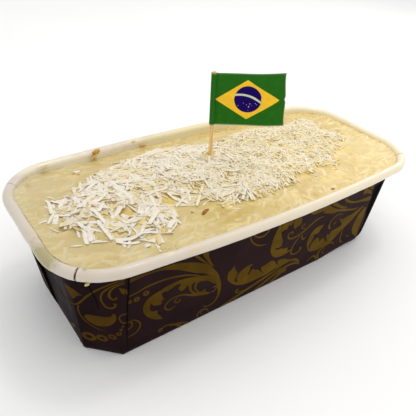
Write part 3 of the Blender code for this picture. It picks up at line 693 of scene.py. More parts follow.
# each stretch: edge (base, rim) where it starts and ends, steps, lifts (base, rim) there, dented
gap = -0.0003
caseStretches = (
    ((-0.20, 0.01), (1.017, 0.941), 70, (0, 0), (0, 0), 0.0),
    ((1.017, 0.941), (1.17, 0.950), 4, (gap, gap), (gap, gap), 1.0),
    ((1.17, 0.950), (2.35, 2.35), 56, (0, 0), (0, 0), 1.0),
    ((2.35, 2.35), (3.0, 3.0), 18, (0, 0), (0, 0), 1.0),
    ((3.0, 3.0), (3.80, 4.01), 44, (0, 0), (0.0007, 0.0007), 1.0),
    ((3.80, 4.01), (5.017, 4.941), 70, (0, 0), (0, 0), 1.0),
    ((5.017, 4.941), (5.17, 4.950), 4, (gap, gap), (gap, gap), 1.0),
    ((5.17, 4.950), (6.35, 5.86), 56, (0.0009, 0.0014), (0.0006, 0.0024), 1.0),
    ((6.35, 5.86), (6.50, 6.10), 10, (0, 0), (0, 0), 1.0),
    ((6.50, 6.10), (7.0, 7.0), 24, (0, 0), (0, 0), 1.0),
    ((7.0, 7.0), (7.80, 8.01), 60, (0, 0), (0.0007, 0.0007), 1.0),
)
wallShape = {"stepTurn": 0.0016, "rows": 30, "top": 0.0512, "tabTop": 0.0490, "edgeInset": 0.0010, "wave": 0.00012,
             "slitEnd": 1.46, "flapShade": 5.70}


def wallColumns():
    # one row per column: base turn, rim turn, lift at the base, lift at the rim, dented, number of the stretch
    rows = []
    for number, (start, end, steps, liftStart, liftEnd, dented) in enumerate(caseStretches):
        share = np.linspace(0, 1, steps + 1)
        shift = wallShape["stepTurn"] * (1 - share)
        values = [start[k] + (end[k] - start[k]) * share + shift for k in (0, 1)]
        values += [liftStart[k] + (liftEnd[k] - liftStart[k]) * share for k in (0, 1)]
        rows.append(np.stack([*values, share * 0 + dented, share * 0 + number], -1))
    return np.concatenate(rows)


def liftAt(turn, height):
    # how far the outer face stands out from the plain wall at a place, tabs and flap included
    share = height / caseShape["rimHeight"]
    turn = np.mod(turn + 0.19, 8.0) - 0.19
    result = np.zeros(np.broadcast(turn, height).shape)
    for start, end, steps, liftStart, liftEnd, dented in caseStretches:
        for whole in (0.0, -8.0):
            low = start[0] + (start[1] - start[0]) * share + whole
            high = end[0] + (end[1] - end[0]) * share + whole
            inside = (turn >= low) & (turn < high)
            along = (turn - low) / (high - low)
            lifts = [liftStart[k] + (liftEnd[k] - liftStart[k]) * along for k in (0, 1)]
            lift = lifts[0] + (lifts[1] - lifts[0]) * share
            if dented == 0.0:
                lift = lift + dentAt(turn, height)
            result = np.where(inside, lift, result)
    return result


def boardWave(point):
    # the board isn't quite flat: two slow waves, strongest half way up
    x, y, z = point[..., 0], point[..., 1], point[..., 2]
    slow = np.sin(x * 95 + z * 60 + y * 40) + 0.6 * np.sin(x * 210 - z * 90 + y * 120 + 1.3)
    return wallShape["wave"] * slow * np.sin(math.pi * np.clip(z / 0.047, 0, 1)) - wallShape["wave"]


def makeWall():
    # rings of columns: under the base, up the outside, over the top edge and down the inside
    columns = wallColumns()
    baseTurn, rimTurn, liftBase, liftRim, dented, stretch = columns.T
    board = caseShape["board"]
    inset = wallShape["edgeInset"]
    foot = wallAt(baseTurn, rimTurn, 0.0, -inset)
    rings = [foot * (scale, scale, 1) for scale in (0.5, 0.8, 1.0)]
    for height, moved in ((0.0001, -0.6 * inset), (0.0004, -0.28 * inset), (0.0008, -0.08 * inset)):
        rings.append(wallAt(baseTurn, rimTurn, height, moved))
    for height in np.linspace(0.0012, wallShape["tabTop"], wallShape["rows"]):
        share = height / caseShape["rimHeight"]
        lift = liftBase + (liftRim - liftBase) * share
        lift = lift * smoothStep(height, 0.0002, 0.0040)
        point = wallAt(baseTurn, rimTurn, height, lift, dented)
        normal = outwardOf(rimLine, rimTurn)
        wave = boardWave(point)[:, None] * normal
        rings.append(point + np.concatenate([wave, wave[:, :1] * 0], 1))
    for height, moved in ((0.0495, -0.0001), (wallShape["top"], -0.0001), (wallShape["top"], -0.4 * board)):
        rings.append(wallAt(rimTurn, rimTurn, height, moved))
    for height in (0.040, 0.025, 0.010, 0.004, 1.6 * board):
        rings.append(wallAt(rimTurn, rimTurn, height, -0.6 * board if height > 0.002 else -1.2 * board))
    rings.append(rings[-1] * (0.6, 0.6, 1) - (0, 0, 0.3 * board))
    rings = np.stack(rings)
    quads, fans = loftFaces(len(rings), rings.shape[1])
    # the cut faces of the glued tabs show the board's core; painted shadow covers the slits by the panels' ends and
    # those ends' cut faces
    count = rings.shape[1]
    after = np.roll(stretch, -1)
    kind = np.where((after != stretch) & np.isin(stretch, (10, 4)), 1, 0)
    kind = np.where(np.isin(stretch, (1, 6)) | ((after != stretch) & np.isin(stretch, (0, 5, 7))), 2, kind)
    # painted shadow on the shaded near right corner up to slitEnd, and on the far flap's shaded end beyond flapShade
    kind = np.where((stretch == 2) & (rimTurn < wallShape["slitEnd"]), 2, kind)
    kind = np.where((stretch == 7) & (rimTurn > wallShape["flapShade"]), 2, kind)
    faceMaterial = np.zeros(len(quads) + len(fans), int)
    row = np.repeat(np.arange(len(rings) - 1), count)
    outside = (row > 5) & (row < 6 + wallShape["rows"])
    faceMaterial[:len(quads)] = np.where(outside, np.tile(kind, len(rings) - 1), 0)
    piece = putMesh("caseWall", loftPoints(rings), quads, fans,
                    (finishes["board"], finishes["core"], finishes["paintedShade"]), faceMaterial, 28.0)
    return onRoot(piece, "printed_board", "paper_case")


makeWall()
print("case wall made")

rimShape = {
    "seams": ((7.49, 0.0007), (1.48, 0.0006), (3.45, 0.0002), (5.62, 0.0002)),
    "insideFoot": 0.0440, "step": 0.0009, "ripple": 0.00003, "raised": (7.92, 0.30, 0.0009),
    "dents": ((0.12, 0.00012, 0.05), (0.78, 0.00010, 0.04), (2.5, 0.0001, 0.12), (4.3, 0.0001, 0.06),
              (6.35, 0.00015, 0.12), (6.8, 0.0001, 0.08), (7.25, 0.00012, 0.12), (1.25, 0.00015, 0.10)),
}


def curlPath():
    # the board's white face in section: up the inside of the wall, over, down and round in a spiral
    rise = np.linspace(0, 1, 7)[:-1]
    angle = np.radians(np.concatenate([np.linspace(180, -110, 27), np.linspace(-125, -330, 15)]))
    tight = smoothStep(-np.degrees(angle), 110, 330)
    radius = caseShape["rollRadius"] * (1 - 0.42 * tight ** 0.6)
    return rise, angle, radius


def whiteFace(turns, level):
    # place on the board's white face: up the wall from its foot, then round the inside of the roll
    normal = outwardOf(rimLine, turns)
    foot = wallAt(turns, turns, rimShape["insideFoot"], -caseShape["board"])[..., :2]
    side = rimLine(turns) + normal * (caseShape["rollOut"] - caseShape["rollRadius"])
    climb = np.clip((level - rimShape["insideFoot"]) / (caseShape["rollHeight"] - rimShape["insideFoot"]), 0, 1)
    above = np.clip((level - caseShape["rollHeight"]) / caseShape["rollRadius"], 0, 0.95)
    over = caseShape["rollRadius"] * (1 - np.sqrt(1 - above ** 2))
    flat = foot + (side - foot) * climb[..., None] + normal * over[..., None]
    return np.concatenate([flat, level[..., None]], -1)


def makeRim():
    # each length between two seams is one rolled sheet with open ends
    rise, angle, radius = curlPath()
    points = []
    quads = []
    first = 0
    seams = sorted(rimShape["seams"])
    for index, (turn, width) in enumerate(seams):
        nextTurn, nextWidth = seams[(index + 1) % len(seams)]
        nextTurn += 8.0 if index == len(seams) - 1 else 0.0
        spanLength = np.interp([turn, nextTurn], fineTurns, topLength)
        low = spanLength[0] + width / 2
        high = spanLength[1] - nextWidth / 2
        count = int((high - low) / rimShape["step"])
        share = np.linspace(0, 1, count)
        share = share + 0.012 * np.sin(2 * math.pi * share) * -1
        turns = np.interp(low + (high - low) * share, topLength, fineTurns)
        normal = outwardOf(rimLine, turns)
        line = rimLine(turns) + normal * caseShape["rollOut"]
        # size of the roll: a slow ripple, dents, and a slight flare or pinch at the cut ends
        ripple = rimShape["ripple"] * (np.sin(turns * 23) + 0.7 * np.sin(turns * 61 + 2) + 0.4 * np.sin(turns * 140))
        shrink = 1.8 * rimShape["ripple"] - ripple
        for place, depth, wide in rimShape["dents"]:
            away = (np.mod(turns - place + 4, 8) - 4) / wide
            shrink = shrink + depth * np.exp(-away ** 2)
        startDistance = (high - low) * share
        gapes = 1.0 if width > 0.001 else 0.12
        shrink = shrink + 0.0001 * gapes * np.exp(-(startDistance / 0.006) ** 2)
        size = 1 - np.clip(shrink, 0, 1) / caseShape["rollRadius"]
        place, wide, raised = rimShape["raised"]
        middle = caseShape["rollHeight"] + caseShape["rollTilt"] * line[:, 1] / caseShape["rimHalf"][1]
        middle = middle + raised * np.exp(-((np.mod(turns - place + 4, 8) - 4) / wide) ** 2)
        middle = middle - 0.0003 * gapes * np.exp(-(startDistance / 0.004) ** 2)
        for skin in (0.0, caseShape["rollBoard"]):
            r = (radius[None, :] - skin) * size[:, None]
            level = r * np.cos(angle)[None, :]
            height = middle[:, None] + r * np.sin(angle)[None, :]
            roll = np.concatenate([line[:, None] + normal[:, None] * level[..., None], height[..., None]], -1)
            foot = []
            for climb in rise:
                bottom = wallAt(turns, turns, rimShape["insideFoot"], -caseShape["board"] + skin * 0.4)
                foot.append(bottom * (1 - climb) + roll[:, 0] * climb)
            points.append(np.concatenate([np.stack(foot, 1), roll], 1).reshape(-1, 3))
        columns = len(rise) + len(angle)
        quads.append(boardFaces(count, columns, first)[:, ::-1])
        first += 2 * count * columns
    piece = putMesh("caseRim", np.concatenate(points), np.concatenate(quads), None, (finishes["rim"],), None, 50.0)
    return onRoot(piece, "rim_board")


makeRim()
print("rim made")


# The gold print. Places on the wall are (a, h) in mm: a runs along the wall's top from the near side's middle, h is the height.
# A band is a list of (a, h, width); a leaf is a closed outline; a ring is (a, h, outer radius, inner radius).
printBands = [
    [(-107.9, 26.8, 0.4), (-104.3, 27.9, 0.6), (-101.1, 29.3, 0.7), (-98.9, 31.3, 0.8), (-97.1, 33.9, 0.9),
     (-95, 36.8, 0.9), (-92.1, 40, 0.9), (-89.3, 42.5, 0.8), (-86.4, 44.3, 0.7), (-82.9, 45.7, 0.7),
     (-79.6, 46.2, 0.7)],
    [(-99.6, 29.6, 0.8), (-100.1, 27.1, 0.8), (-100, 24.3, 0.8), (-98.9, 21.4, 0.7), (-97.1, 18.9, 0.6),
     (-94.6, 17, 0.5), (-91.1, 15.9, 0.25)],
    [(-80.4, 44.9, 0.6), (-83.6, 44.1, 0.6), (-86.1, 43, 0.7), (-88.2, 41.1, 0.8), (-89.6, 38.9, 0.8),
     (-90.1, 36.4, 0.8), (-89.8, 33.9, 0.8), (-88.9, 32, 0.9), (-87.3, 31.4, 1.0), (-85.9, 32, 0.9),
     (-85.3, 33.2, 0.8), (-86.2, 33.9, 0.5)],
    [(-80.4, 43.9, 0.5), (-82.9, 43.4, 0.6), (-85, 42.3, 0.8), (-86.4, 40.6, 0.9), (-86.9, 38.6, 1.0),
     (-86.6, 36.9, 0.9), (-85.6, 36.1, 0.8), (-84.5, 36.5, 0.7), (-84.6, 37.4, 0.4)],
    [(-81.4, 25, 0.5), (-82.5, 26.2, 0.6), (-83.9, 26.3, 0.7), (-85, 25.2, 0.7), (-85.1, 23.6, 0.7),
     (-84.6, 22, 0.7), (-83.6, 21.1, 0.7), (-82.3, 20.7, 0.6)],
    [(-81.7, 20.0, 0.6), (-80.7, 19.5, 0.7), (-79.9, 18.4, 0.7), (-80, 16.8, 0.7), (-81.1, 15.6, 0.7),
     (-82.4, 15.1, 0.6)],
    [(-80.4, 20.3, 0.4), (-78.4, 19.5, 0.6), (-76.8, 17.6, 0.7), (-76.1, 15.4, 0.8), (-76.8, 13.2, 0.8),
     (-78.2, 11.6, 0.8), (-80.4, 10.7, 0.7), (-83.0, 10.4, 0.5)],
    [(-78.6, 43.4, 2.6), (-76.4, 43.6, 1.9), (-72.1, 44.2, 1.7), (-65, 44.3, 2.2), (-57.9, 42.3, 3.4),
     (-51.5, 39.3, 4.8), (-46, 35.9, 5.4), (-42.6, 33.6, 4.4), (-39.3, 30.2, 3.6), (-36.4, 26.2, 3.0),
     (-34.4, 21.4, 2.5), (-33.1, 16.4, 2.1), (-33.2, 11.4, 1.5), (-35.1, 7.9, 1.1), (-38.2, 6.8, 0.8),
     (-40.7, 7.3, 0.6), (-41.7, 8.7, 0.3)],
    [(-48.9, 44.8, 1.3), (-45.7, 40.9, 1.0), (-42.5, 37.0, 0.6), (-39.5, 33.6, 0.2)],
    [(-79.2, 35.0, 0.7), (-76.4, 35.4, 0.8), (-72.1, 36.6, 1.0), (-67.9, 37.1, 1.0), (-62.9, 37.1, 1.0),
     (-57.9, 36.4, 1.0), (-52.9, 34.9, 0.9), (-48.6, 32.9, 0.7), (-45.9, 31.2, 0.4)],
    [(-50.7, 27.6, 1.5), (-50.4, 25, 1.3), (-49.3, 22.5, 1.1), (-47.5, 20.6, 0.9), (-45.3, 19.4, 0.6)],
    [(-47.3, 27.6, 1.7), (-47.8, 25, 1.4), (-47.1, 22.6, 1.0), (-45.4, 20.5, 0.5)],
    [(-58.2, 18.3, 0.3), (-59.6, 17.2, 0.6), (-61.8, 17.1, 0.8), (-63.3, 18.7, 0.8), (-63.4, 20.7, 0.8),
     (-61.8, 22.7, 0.8), (-59.3, 23.7, 0.8), (-56.4, 23.7, 0.8), (-53.6, 22.9, 0.9), (-50.7, 21.1, 1.3),
     (-47.1, 19.6, 2.3), (-43.6, 18.3, 2.3), (-40.6, 16.9, 1.5), (-38.6, 16.2, 0.3)],
    [(-57.3, 22.6, 0.5), (-58.5, 21.5, 0.6), (-58.3, 20.2, 0.6), (-57.1, 19.5, 0.7), (-55.8, 20, 0.6),
     (-55.7, 21.1, 0.4)],
    [(-38.3, 16.4, 0.4), (-36.8, 16.3, 0.7), (-35.5, 17.1, 0.7), (-35.2, 18.5, 0.7), (-36.2, 19.4, 0.7),
     (-37.4, 19, 0.5)],
    [(-65.4, 6.6, 0.7), (-62.1, 6.3, 0.9), (-59.3, 5.1, 1.1), (-56.8, 3.2, 1.5), (-54.8, 0.9, 1.9)],
    [(-61.0, 4.6, 0.4), (-57.9, 4.6, 0.8), (-54.3, 3.2, 1.1), (-50.9, 1.2, 1.4)],
    [(-44.6, 1.4, 0.6), (-45, 3.6, 0.8), (-43.6, 5.3, 0.9), (-41.4, 5.7, 0.9), (-39.3, 4.6, 0.8),
     (-38, 2.5, 0.6)],
    [(-42.3, 2.5, 0.5), (-42.9, 3.9, 0.6), (-41.7, 4.5, 0.3)],
    [(-20, 43.9, 0.5), (-19.1, 41.4, 0.8), (-17.1, 38.6, 0.9), (-14.3, 36.1, 0.9), (-11.1, 34.6, 0.8),
     (-7.9, 33.8, 0.3)],
    [(-18, 43.9, 0.5), (-16.1, 42, 0.8), (-13.6, 40.7, 1.1), (-11.1, 40.7, 1.2), (-9.4, 41.8, 1.0),
     (-9, 43.1, 0.8), (-10.2, 43.8, 0.4)],
    [(-30, 1.2, 0.8), (-22.9, 2.4, 1.6), (-15.7, 4.3, 2.0), (-8.6, 6, 2.0), (-2.1, 7.6, 1.8),
     (4.3, 9.2, 1.4), (10.5, 10.4, 0.5)],
    [(-20.9, 8.9, 0.5), (-20.9, 7.2, 0.8), (-19.6, 6.0, 0.8), (-17.4, 5.6, 0.7), (-15, 5.7, 0.3)],
    [(-7, 1.0, 1.2), (0, 3.9, 2.0), (7.1, 6.7, 2.0), (14.3, 8.6, 1.9), (20, 8.7, 1.7), (24, 7.2, 1.1),
     (26.3, 5.4, 0.3)],
    [(4.6, 1.0, 1.4), (8.2, 3.2, 2.2), (12.1, 5.7, 2.4), (16.0, 6.9, 0.6)],
    [(9.6, 33.2, 0.5), (9.7, 34.4, 0.7), (8.5, 35.1, 0.8), (6.9, 34.8, 0.8), (6.6, 33.2, 0.8),
     (7.6, 31.6, 0.9), (9.6, 30.4, 1.0), (12.1, 30, 1.0), (15, 30.4, 1.2), (17.9, 31.3, 1.6),
     (20.7, 32.9, 1.7), (23.6, 34.6, 1.3), (26.4, 35.9, 1.0), (29.3, 36.4, 0.8), (32.1, 35.9, 0.3)],
    [(15.1, 37.4, 0.6), (15.2, 35.7, 0.8), (16.5, 34.3, 0.8), (18.7, 33.5, 0.3)],
    [(16.8, 29.6, 0.6), (15, 26.4, 0.9), (13.9, 23.6, 1.0), (13.8, 20.7, 1.0), (14.6, 18.6, 1.0),
     (16.4, 16.9, 1.0), (18.9, 16.4, 1.0), (21.1, 17.1, 1.0), (22.0, 18.6, 1.0), (21.2, 19.7, 0.9),
     (20.2, 19.1, 0.4)],
    [(18.2, 29.5, 0.5), (19.3, 27.1, 0.8), (20.4, 25.7, 0.9), (22.0, 25.5, 0.8), (22.3, 26.7, 0.4)],
    [(35.8, 43.0, 2.3), (41, 39.7, 1.8), (46, 36.9, 1.2), (51.5, 34.7, 0.4)],
    [(50.3, 30.9, 0.3), (47.9, 31.7, 0.5), (45.7, 32.1, 0.7), (43.2, 31.6, 0.9), (41.4, 29.6, 1.0),
     (40.9, 27.1, 1.3), (41.8, 25.0, 1.4), (43.7, 23.6, 0.7)],
    [(42.9, 4.3, 1.4), (42.1, 6.8, 1.8), (43.6, 9.1, 1.7), (47.1, 10.6, 1.2), (50.7, 10.9, 0.9),
     (53.6, 9.9, 0.8), (55.7, 7.1, 0.3)],
    [(45.7, 0.9, 0.9), (43.9, 2.7, 1.4), (43.1, 4.6, 1.4)],
    [(47.1, 8.1, 0.5), (46.4, 6.4, 0.7), (47.1, 4.6, 0.7), (49.3, 3.9, 0.3)],
    [(33.9, 4.3, 0.5), (35.7, 6.0, 0.9), (38.6, 6.2, 1.0), (41.1, 4.4, 1.2), (42.9, 1.6, 0.7)],
    [(58.6, 18.6, 0.4), (58.9, 14.3, 0.8), (60, 10, 0.9), (62.1, 7.5, 0.9), (65, 6.4, 0.3)],
    [(64.6, 10.8, 0.3), (67.2, 9.6, 0.7), (69.6, 8.4, 0.3)],
    [(-119, 0.9, 1.0), (-114, 4.1, 2.2), (-110, 8, 1.8), (-106.5, 11.2, 0.2)],
    [(-106, 0.8, 0.7), (-104.5, 1.9, 0.9), (-102.5, 2.2, 0.9), (-100.8, 1.5, 0.8), (-100.2, 0.8, 0.4)],
    [(-136.4, 6.5, 0.4), (-138.6, 10.5, 2.0), (-140.1, 15, 2.6), (-141.6, 20.6, 0.5)],
]
printLeaves = [
    [(-98.4, 23.2), (-97.1, 24.9), (-93.6, 25.4), (-90, 25.7), (-88, 26.4), (-87.2, 28), (-86.4, 27.4),
     (-86.2, 26.1), (-86.6, 24.3), (-87.5, 22.5), (-89.3, 20.4), (-91.8, 19.1), (-94.3, 18.9), (-96.3, 20),
     (-97.6, 21.4)],
    [(-105.4, 38.6), (-103.6, 39.0), (-101.4, 38.9), (-99.6, 38.2), (-98.4, 37.2), (-97.0, 36.4), (-98.3, 35.8),
     (-99.6, 34.6), (-100.7, 33.0), (-101.8, 32.6), (-103.2, 33.6), (-104.3, 35.4), (-105.2, 37.1)],
    [(-82.9, 42.2), (-82, 41.6), (-80.7, 40.7), (-79.7, 39.3), (-79.6, 36.5), (-80.4, 36.8), (-81.6, 37.9),
     (-82.3, 39.3), (-82.5, 40.7)],
    [(-45.4, 45.2), (-42.5, 45.2), (-42, 41.6), (-40.9, 38.6), (-38.6, 33.4), (-41.4, 36.6), (-43.2, 40),
     (-44.8, 42.8)],
    [(-65.0, 12.7), (-68.2, 14.1), (-70.6, 15.9), (-72.4, 18.2), (-73.6, 20.6), (-74.1, 23.2), (-73.6, 26.1),
     (-72, 28.6), (-69.3, 30.4), (-65.7, 31.6), (-65, 31.2), (-64.9, 29.3), (-64.5, 27.1), (-63.7, 25.4),
     (-65, 25.2), (-65.4, 23), (-67.5, 23.2), (-69.3, 24.1), (-69.9, 25.7), (-70.9, 23.7), (-70.6, 21.4),
     (-69.3, 20.2), (-67.3, 19.7), (-67.5, 17.9), (-65.9, 15)],
    [(-65.3, 31.5), (-62.9, 32.6), (-59.3, 33.2), (-55.7, 33.4), (-52.1, 32.9), (-48.6, 31.9), (-45, 30.7),
     (-40.4, 28.4), (-39.6, 25.2), (-42.9, 26.4), (-45.4, 27.1), (-47.1, 26.4), (-48.2, 28.4), (-50.4, 27.1),
     (-52.1, 27.9), (-53.2, 26.8), (-55, 26.1), (-56.6, 27.9), (-56.4, 29.5), (-55.2, 30.8), (-57.9, 31.3),
     (-60.4, 30.1), (-62.5, 29.6), (-63.6, 30.1), (-64.5, 29.5)],
    [(-40.6, 28.5), (-37.8, 25.6), (-36.0, 21.2), (-38.6, 23.2), (-40.4, 25.5)],
    [(-25.7, 28.4), (-25.2, 25.7), (-23.7, 23.6), (-22.7, 21.4), (-23, 19.1), (-23.7, 17.5), (-22.6, 15.3),
     (-21.5, 15), (-22.3, 17.1), (-22.3, 19.4), (-21.4, 21.4), (-19.6, 22.6), (-16.8, 23.4), (-14.2, 23.7),
     (-13.5, 22.5), (-14.9, 22), (-14.3, 20), (-14.9, 17.9), (-14.5, 15.7), (-13.4, 18), (-11.8, 19.4),
     (-11.1, 18), (-9.1, 17.5), (-7.1, 15.9), (-5, 13.6), (-3.1, 12.5), (-5, 14.5), (-6.3, 17.5),
     (-3.9, 18.2), (-1.4, 19.1), (0.7, 19.3), (2.9, 17.9), (4.3, 16.1), (5.4, 14.6), (6.9, 13.7),
     (5.5, 16.6), (7.1, 17.1), (10, 16.4), (12.9, 15), (15.7, 13.6), (18.6, 12.9), (21.4, 11.8),
     (23.9, 10), (25.6, 7.9), (26.9, 5.3), (25, 7.4), (22.9, 9), (20, 10.6), (16.4, 11.6), (12.9, 11.6),
     (8.6, 11.2), (4.3, 11.1), (0, 10.1), (-4.3, 10), (-8.6, 10), (-12.9, 10), (-17.1, 10.7), (-20, 11.8),
     (-22.9, 13.6), (-25.7, 16.1), (-27.9, 18.9), (-29.1, 21.8), (-28.8, 25), (-27.1, 26.4)],
    [(12.1, 7.1), (14.6, 4.3), (16.4, 6.6)],
    [(-2.5, 43.2), (-3.2, 40), (-3.9, 35.7), (-3.7, 31.4), (-3.2, 27.9), (-1.8, 25), (0, 22.5), (2.9, 20.7),
     (6.4, 19.9), (10, 20.1), (13.4, 20.9), (12.1, 21.8), (10.7, 21.6), (9.9, 23.6), (9.3, 24.6),
     (6.4, 25.1), (4.6, 26.2), (3, 25.9), (0.5, 27), (-0.8, 28.5), (0.3, 27.9), (3.4, 27.8), (3.9, 30.7),
     (2.9, 32.9), (1.4, 35.7), (0, 39.3), (-0.8, 43.1)],
    [(0, 43.1), (0, 40), (1.1, 38.2), (2.1, 38.9), (3.9, 38.6), (4.6, 41), (6.4, 40), (7.1, 43.0)],
    [(7.6, 43.0), (8.2, 39.3), (10, 36.4), (11.4, 37.3), (13.2, 37.9), (13.6, 39.3), (12.4, 42.6)],
    [(18.2, 43.1), (31.4, 43.1), (35, 41.1), (38.6, 38.9), (43.6, 36.5), (48.6, 35), (53.6, 33.2),
     (59.3, 31.3), (65.2, 30.5), (60.7, 30), (55, 31.3), (49.3, 33), (43.6, 34.9), (39.3, 35.4),
     (34.3, 37.1), (30, 38.9), (30.4, 40.2), (25.7, 40.6), (21.4, 41.1)],
    [(45.5, 43.1), (50, 40), (55, 37.5), (59.3, 36.4), (65, 35.7), (70.7, 35.4), (73.6, 34.6), (74.4, 32.3),
     (70.7, 32.5), (65, 33.9), (59.3, 35), (54.3, 36.6), (49.3, 38.8), (45.7, 41.2)],
    [(61.8, 43.4), (64.3, 42.9), (67.9, 40.7), (71.2, 38.6), (72.9, 35.9), (70.5, 37.3), (66.4, 38.9),
     (62.9, 39.2), (62.5, 40.7)],
    [(65.6, 43.6), (70.5, 43.8), (71.7, 41), (70.8, 40), (68.5, 41.1)],
    [(35.4, 29.2), (33.9, 29.7), (31.4, 30.1), (28.6, 29.6), (26.8, 27.9), (25.7, 25), (25.7, 21.4),
     (26.8, 18.6), (28.6, 15.7), (30.7, 13.2), (34.3, 11.4), (38.6, 10.6), (43.6, 10.4), (47.9, 10.9),
     (51.4, 12.5), (54.3, 14.6), (57.1, 17.5), (60.7, 20), (64.3, 22.9), (67.1, 26.4), (70, 29.3),
     (67.9, 29.7), (64.3, 28.6), (60.7, 27.1), (56.4, 27.1), (53.6, 26.4), (50, 27.6), (51.5, 25.5),
     (54.2, 22.7), (53.2, 21.6), (49.3, 21.1), (46.4, 20.7), (45.4, 18.9), (43.2, 19.7), (43.9, 16.8),
     (46.1, 13.9), (44.6, 14.6), (42.5, 16.1), (41.4, 17.7), (39.3, 18.6), (37.9, 16.7), (36.4, 19.3),
     (34.3, 21.2), (32.1, 20.7), (30.9, 19.3), (30.4, 16.4), (31.0, 14.4), (29.6, 15.7), (28.6, 18.2),
     (29.6, 20.7), (30, 23.4), (28.9, 25.1), (31.8, 24.6), (33.2, 25.2), (34.0, 27.3)],
    [(72.1, 28.0), (70.4, 26.4), (68.7, 23.6), (68.2, 20), (68.6, 16.4), (69.6, 12.9), (71.8, 10), (75, 7.5),
     (77.5, 5.9), (78.6, 5.3), (78.2, 7.9), (77.7, 10), (77.2, 12), (76.8, 14.3), (76.6, 18.6), (75.6, 21.4),
     (74.8, 25), (73.9, 27.1)],
]
printRings = [
    (-98.4, 9.9, 2.8, 1.2), (-93.4, 10.7, 2.2, 0.9), (-89.4, 12.8, 1.6, 0.6), (-86.7, 15.2, 1.1, 0.4),
    (-85.5, 17.4, 0.8, 0.25), (-84.5, 19.1, 0.55, 0.15), (-76.2, 31.7, 1.35, 0.5), (-71.9, 33.1, 1.45, 0.5),
    (-79.4, 31.6, 1.0, 0.35), (-66.4, 5.2, 1.35, 0.5), (-42.5, 19.4, 1.2, 0.45), (16.7, 36.6, 0.8, 0.2),
    (-20.1, 8.3, 0.9, 0.3), (45.7, 26.4, 0.9, 0.2),
]
# painted shadow lines, laid on the wall in the near-black finish: a dark crease by the near left corner, and the shade
# beside the near tab's edge
paintedShadowLines = [
    [(-94.2, 46.5, 0.7), (-93.6, 44.0, 0.7), (-93.0, 40.5, 0.6), (-92.3, 37.0, 0.5), (-91.9, 33.5, 0.35),
     (-91.8, 29.8, 0.1)],
    # the shadow line along the near tab's edge
    [(-84.7, 1.2, 0.37), (-83.75, 8.0, 0.40), (-82.6, 16.0, 0.45), (-81.4, 24.0, 0.55), (-80.2, 32.0, 0.65),
     (-78.9, 40.0, 0.75), (-78.0, 46.0, 0.75), (-77.7, 48.0, 0.75)],
]
printShape = {"proud": 0.00008, "sunk": 0.00014, "darkProud": 0.00012, "grid": 1.0}


def onWall(a, h, proud):
    # place on the outer face for (a, h) in mm, standing proud by a small amount
    turn = np.interp(a * mm, topLength, fineTurns)
    height = h * mm
    point = wallAt(turn, turn, height, liftAt(turn, height) + proud)
    normal = outwardOf(rimLine, turn)
    wave = boardWave(point)[..., None] * normal
    return point + np.concatenate([wave, wave[..., :1] * 0], -1)


def bandGrid(path):
    # three lines side by side along a smoothed path, as far apart as the band is wide
    curve = smoothPath(path, 7)
    along = np.gradient(curve[:, :2], axis=0)
    along /= np.maximum(np.linalg.norm(along, axis=1, keepdims=True), 1e-9)
    side = np.stack([-along[:, 1], along[:, 0]], -1)
    return curve[:, None, :2] + side[:, None] * curve[:, None, 2:] * np.array([-0.5, 0.0, 0.5])[None, :, None]


def insideOutline(x, y, outline):
    # a place is inside where a line to the right crosses the outline an odd number of times
    start = outline
    end = np.roll(outline, -1, axis=0)
    crosses = (start[:, 1] > y[:, None]) != (end[:, 1] > y[:, None])
    slope = (end[:, 0] - start[:, 0]) / np.where(end[:, 1] == start[:, 1], 1e-9, end[:, 1] - start[:, 1])
    where = start[:, 0] + (y[:, None] - start[:, 1]) * slope
    return (np.sum(crosses & (x[:, None] < where), axis=1) % 2) == 1


def outlineAway(x, y, outline):
    # distance to a closed outline, negative outside
    start = outline[None]
    edge = np.roll(outline, -1, axis=0)[None] - start
    place = np.stack([x, y], -1)[:, None] - start
    share = np.clip((place * edge).sum(-1) / np.maximum((edge ** 2).sum(-1), 1e-12), 0, 1)
    away = np.linalg.norm(place - edge * share[..., None], axis=-1).min(1)
    return np.where(insideOutline(x, y, outline), away, -away)


def filledShape(outline, spacing):
    # triangles that fill an outline, with extra points inside so that they follow a bent wall
    low = outline.min(0)
    high = outline.max(0)
    x, y = np.meshgrid(np.arange(low[0], high[0], spacing), np.arange(low[1], high[1], spacing))
    x = x.ravel() + 0.37 * spacing
    y = y.ravel() + 0.41 * spacing
    keep = outlineAway(x, y, outline) > 0.3 * spacing
    points = np.concatenate([outline, np.stack([x[keep], y[keep]], -1)])
    around = list(range(len(outline)))
    edges = list(zip(around, around[1:] + around[:1]))
    made = geometry.delaunay_2d_cdt([Vector(point) for point in points.tolist()], edges, [around], 1, 1e-5)
    flat = np.array([tuple(point) for point in made[0]])
    triangles = np.array([face for face in made[2] if len(face) == 3], int)
    return flat, triangles


def sheetOfTriangles(flat, triangles, place, proud, sunk, first):
    # closed thin sheet: the triangles on top, again below, and a wall along their free edges
    edges = np.concatenate([triangles[:, [0, 1]], triangles[:, [1, 2]], triangles[:, [2, 0]]])
    known = set(map(tuple, edges.tolist()))
    free = np.array([edge for edge in known if (edge[1], edge[0]) not in known], int)
    count = len(flat)
    points = np.concatenate([place(flat[:, 0], flat[:, 1], proud), place(flat[:, 0], flat[:, 1], -sunk)])
    faces = np.concatenate([triangles, triangles[:, ::-1] + count]) + first
    walls = np.stack([free[:, 1], free[:, 0], free[:, 0] + count, free[:, 1] + count], -1) + first
    return points, faces, walls


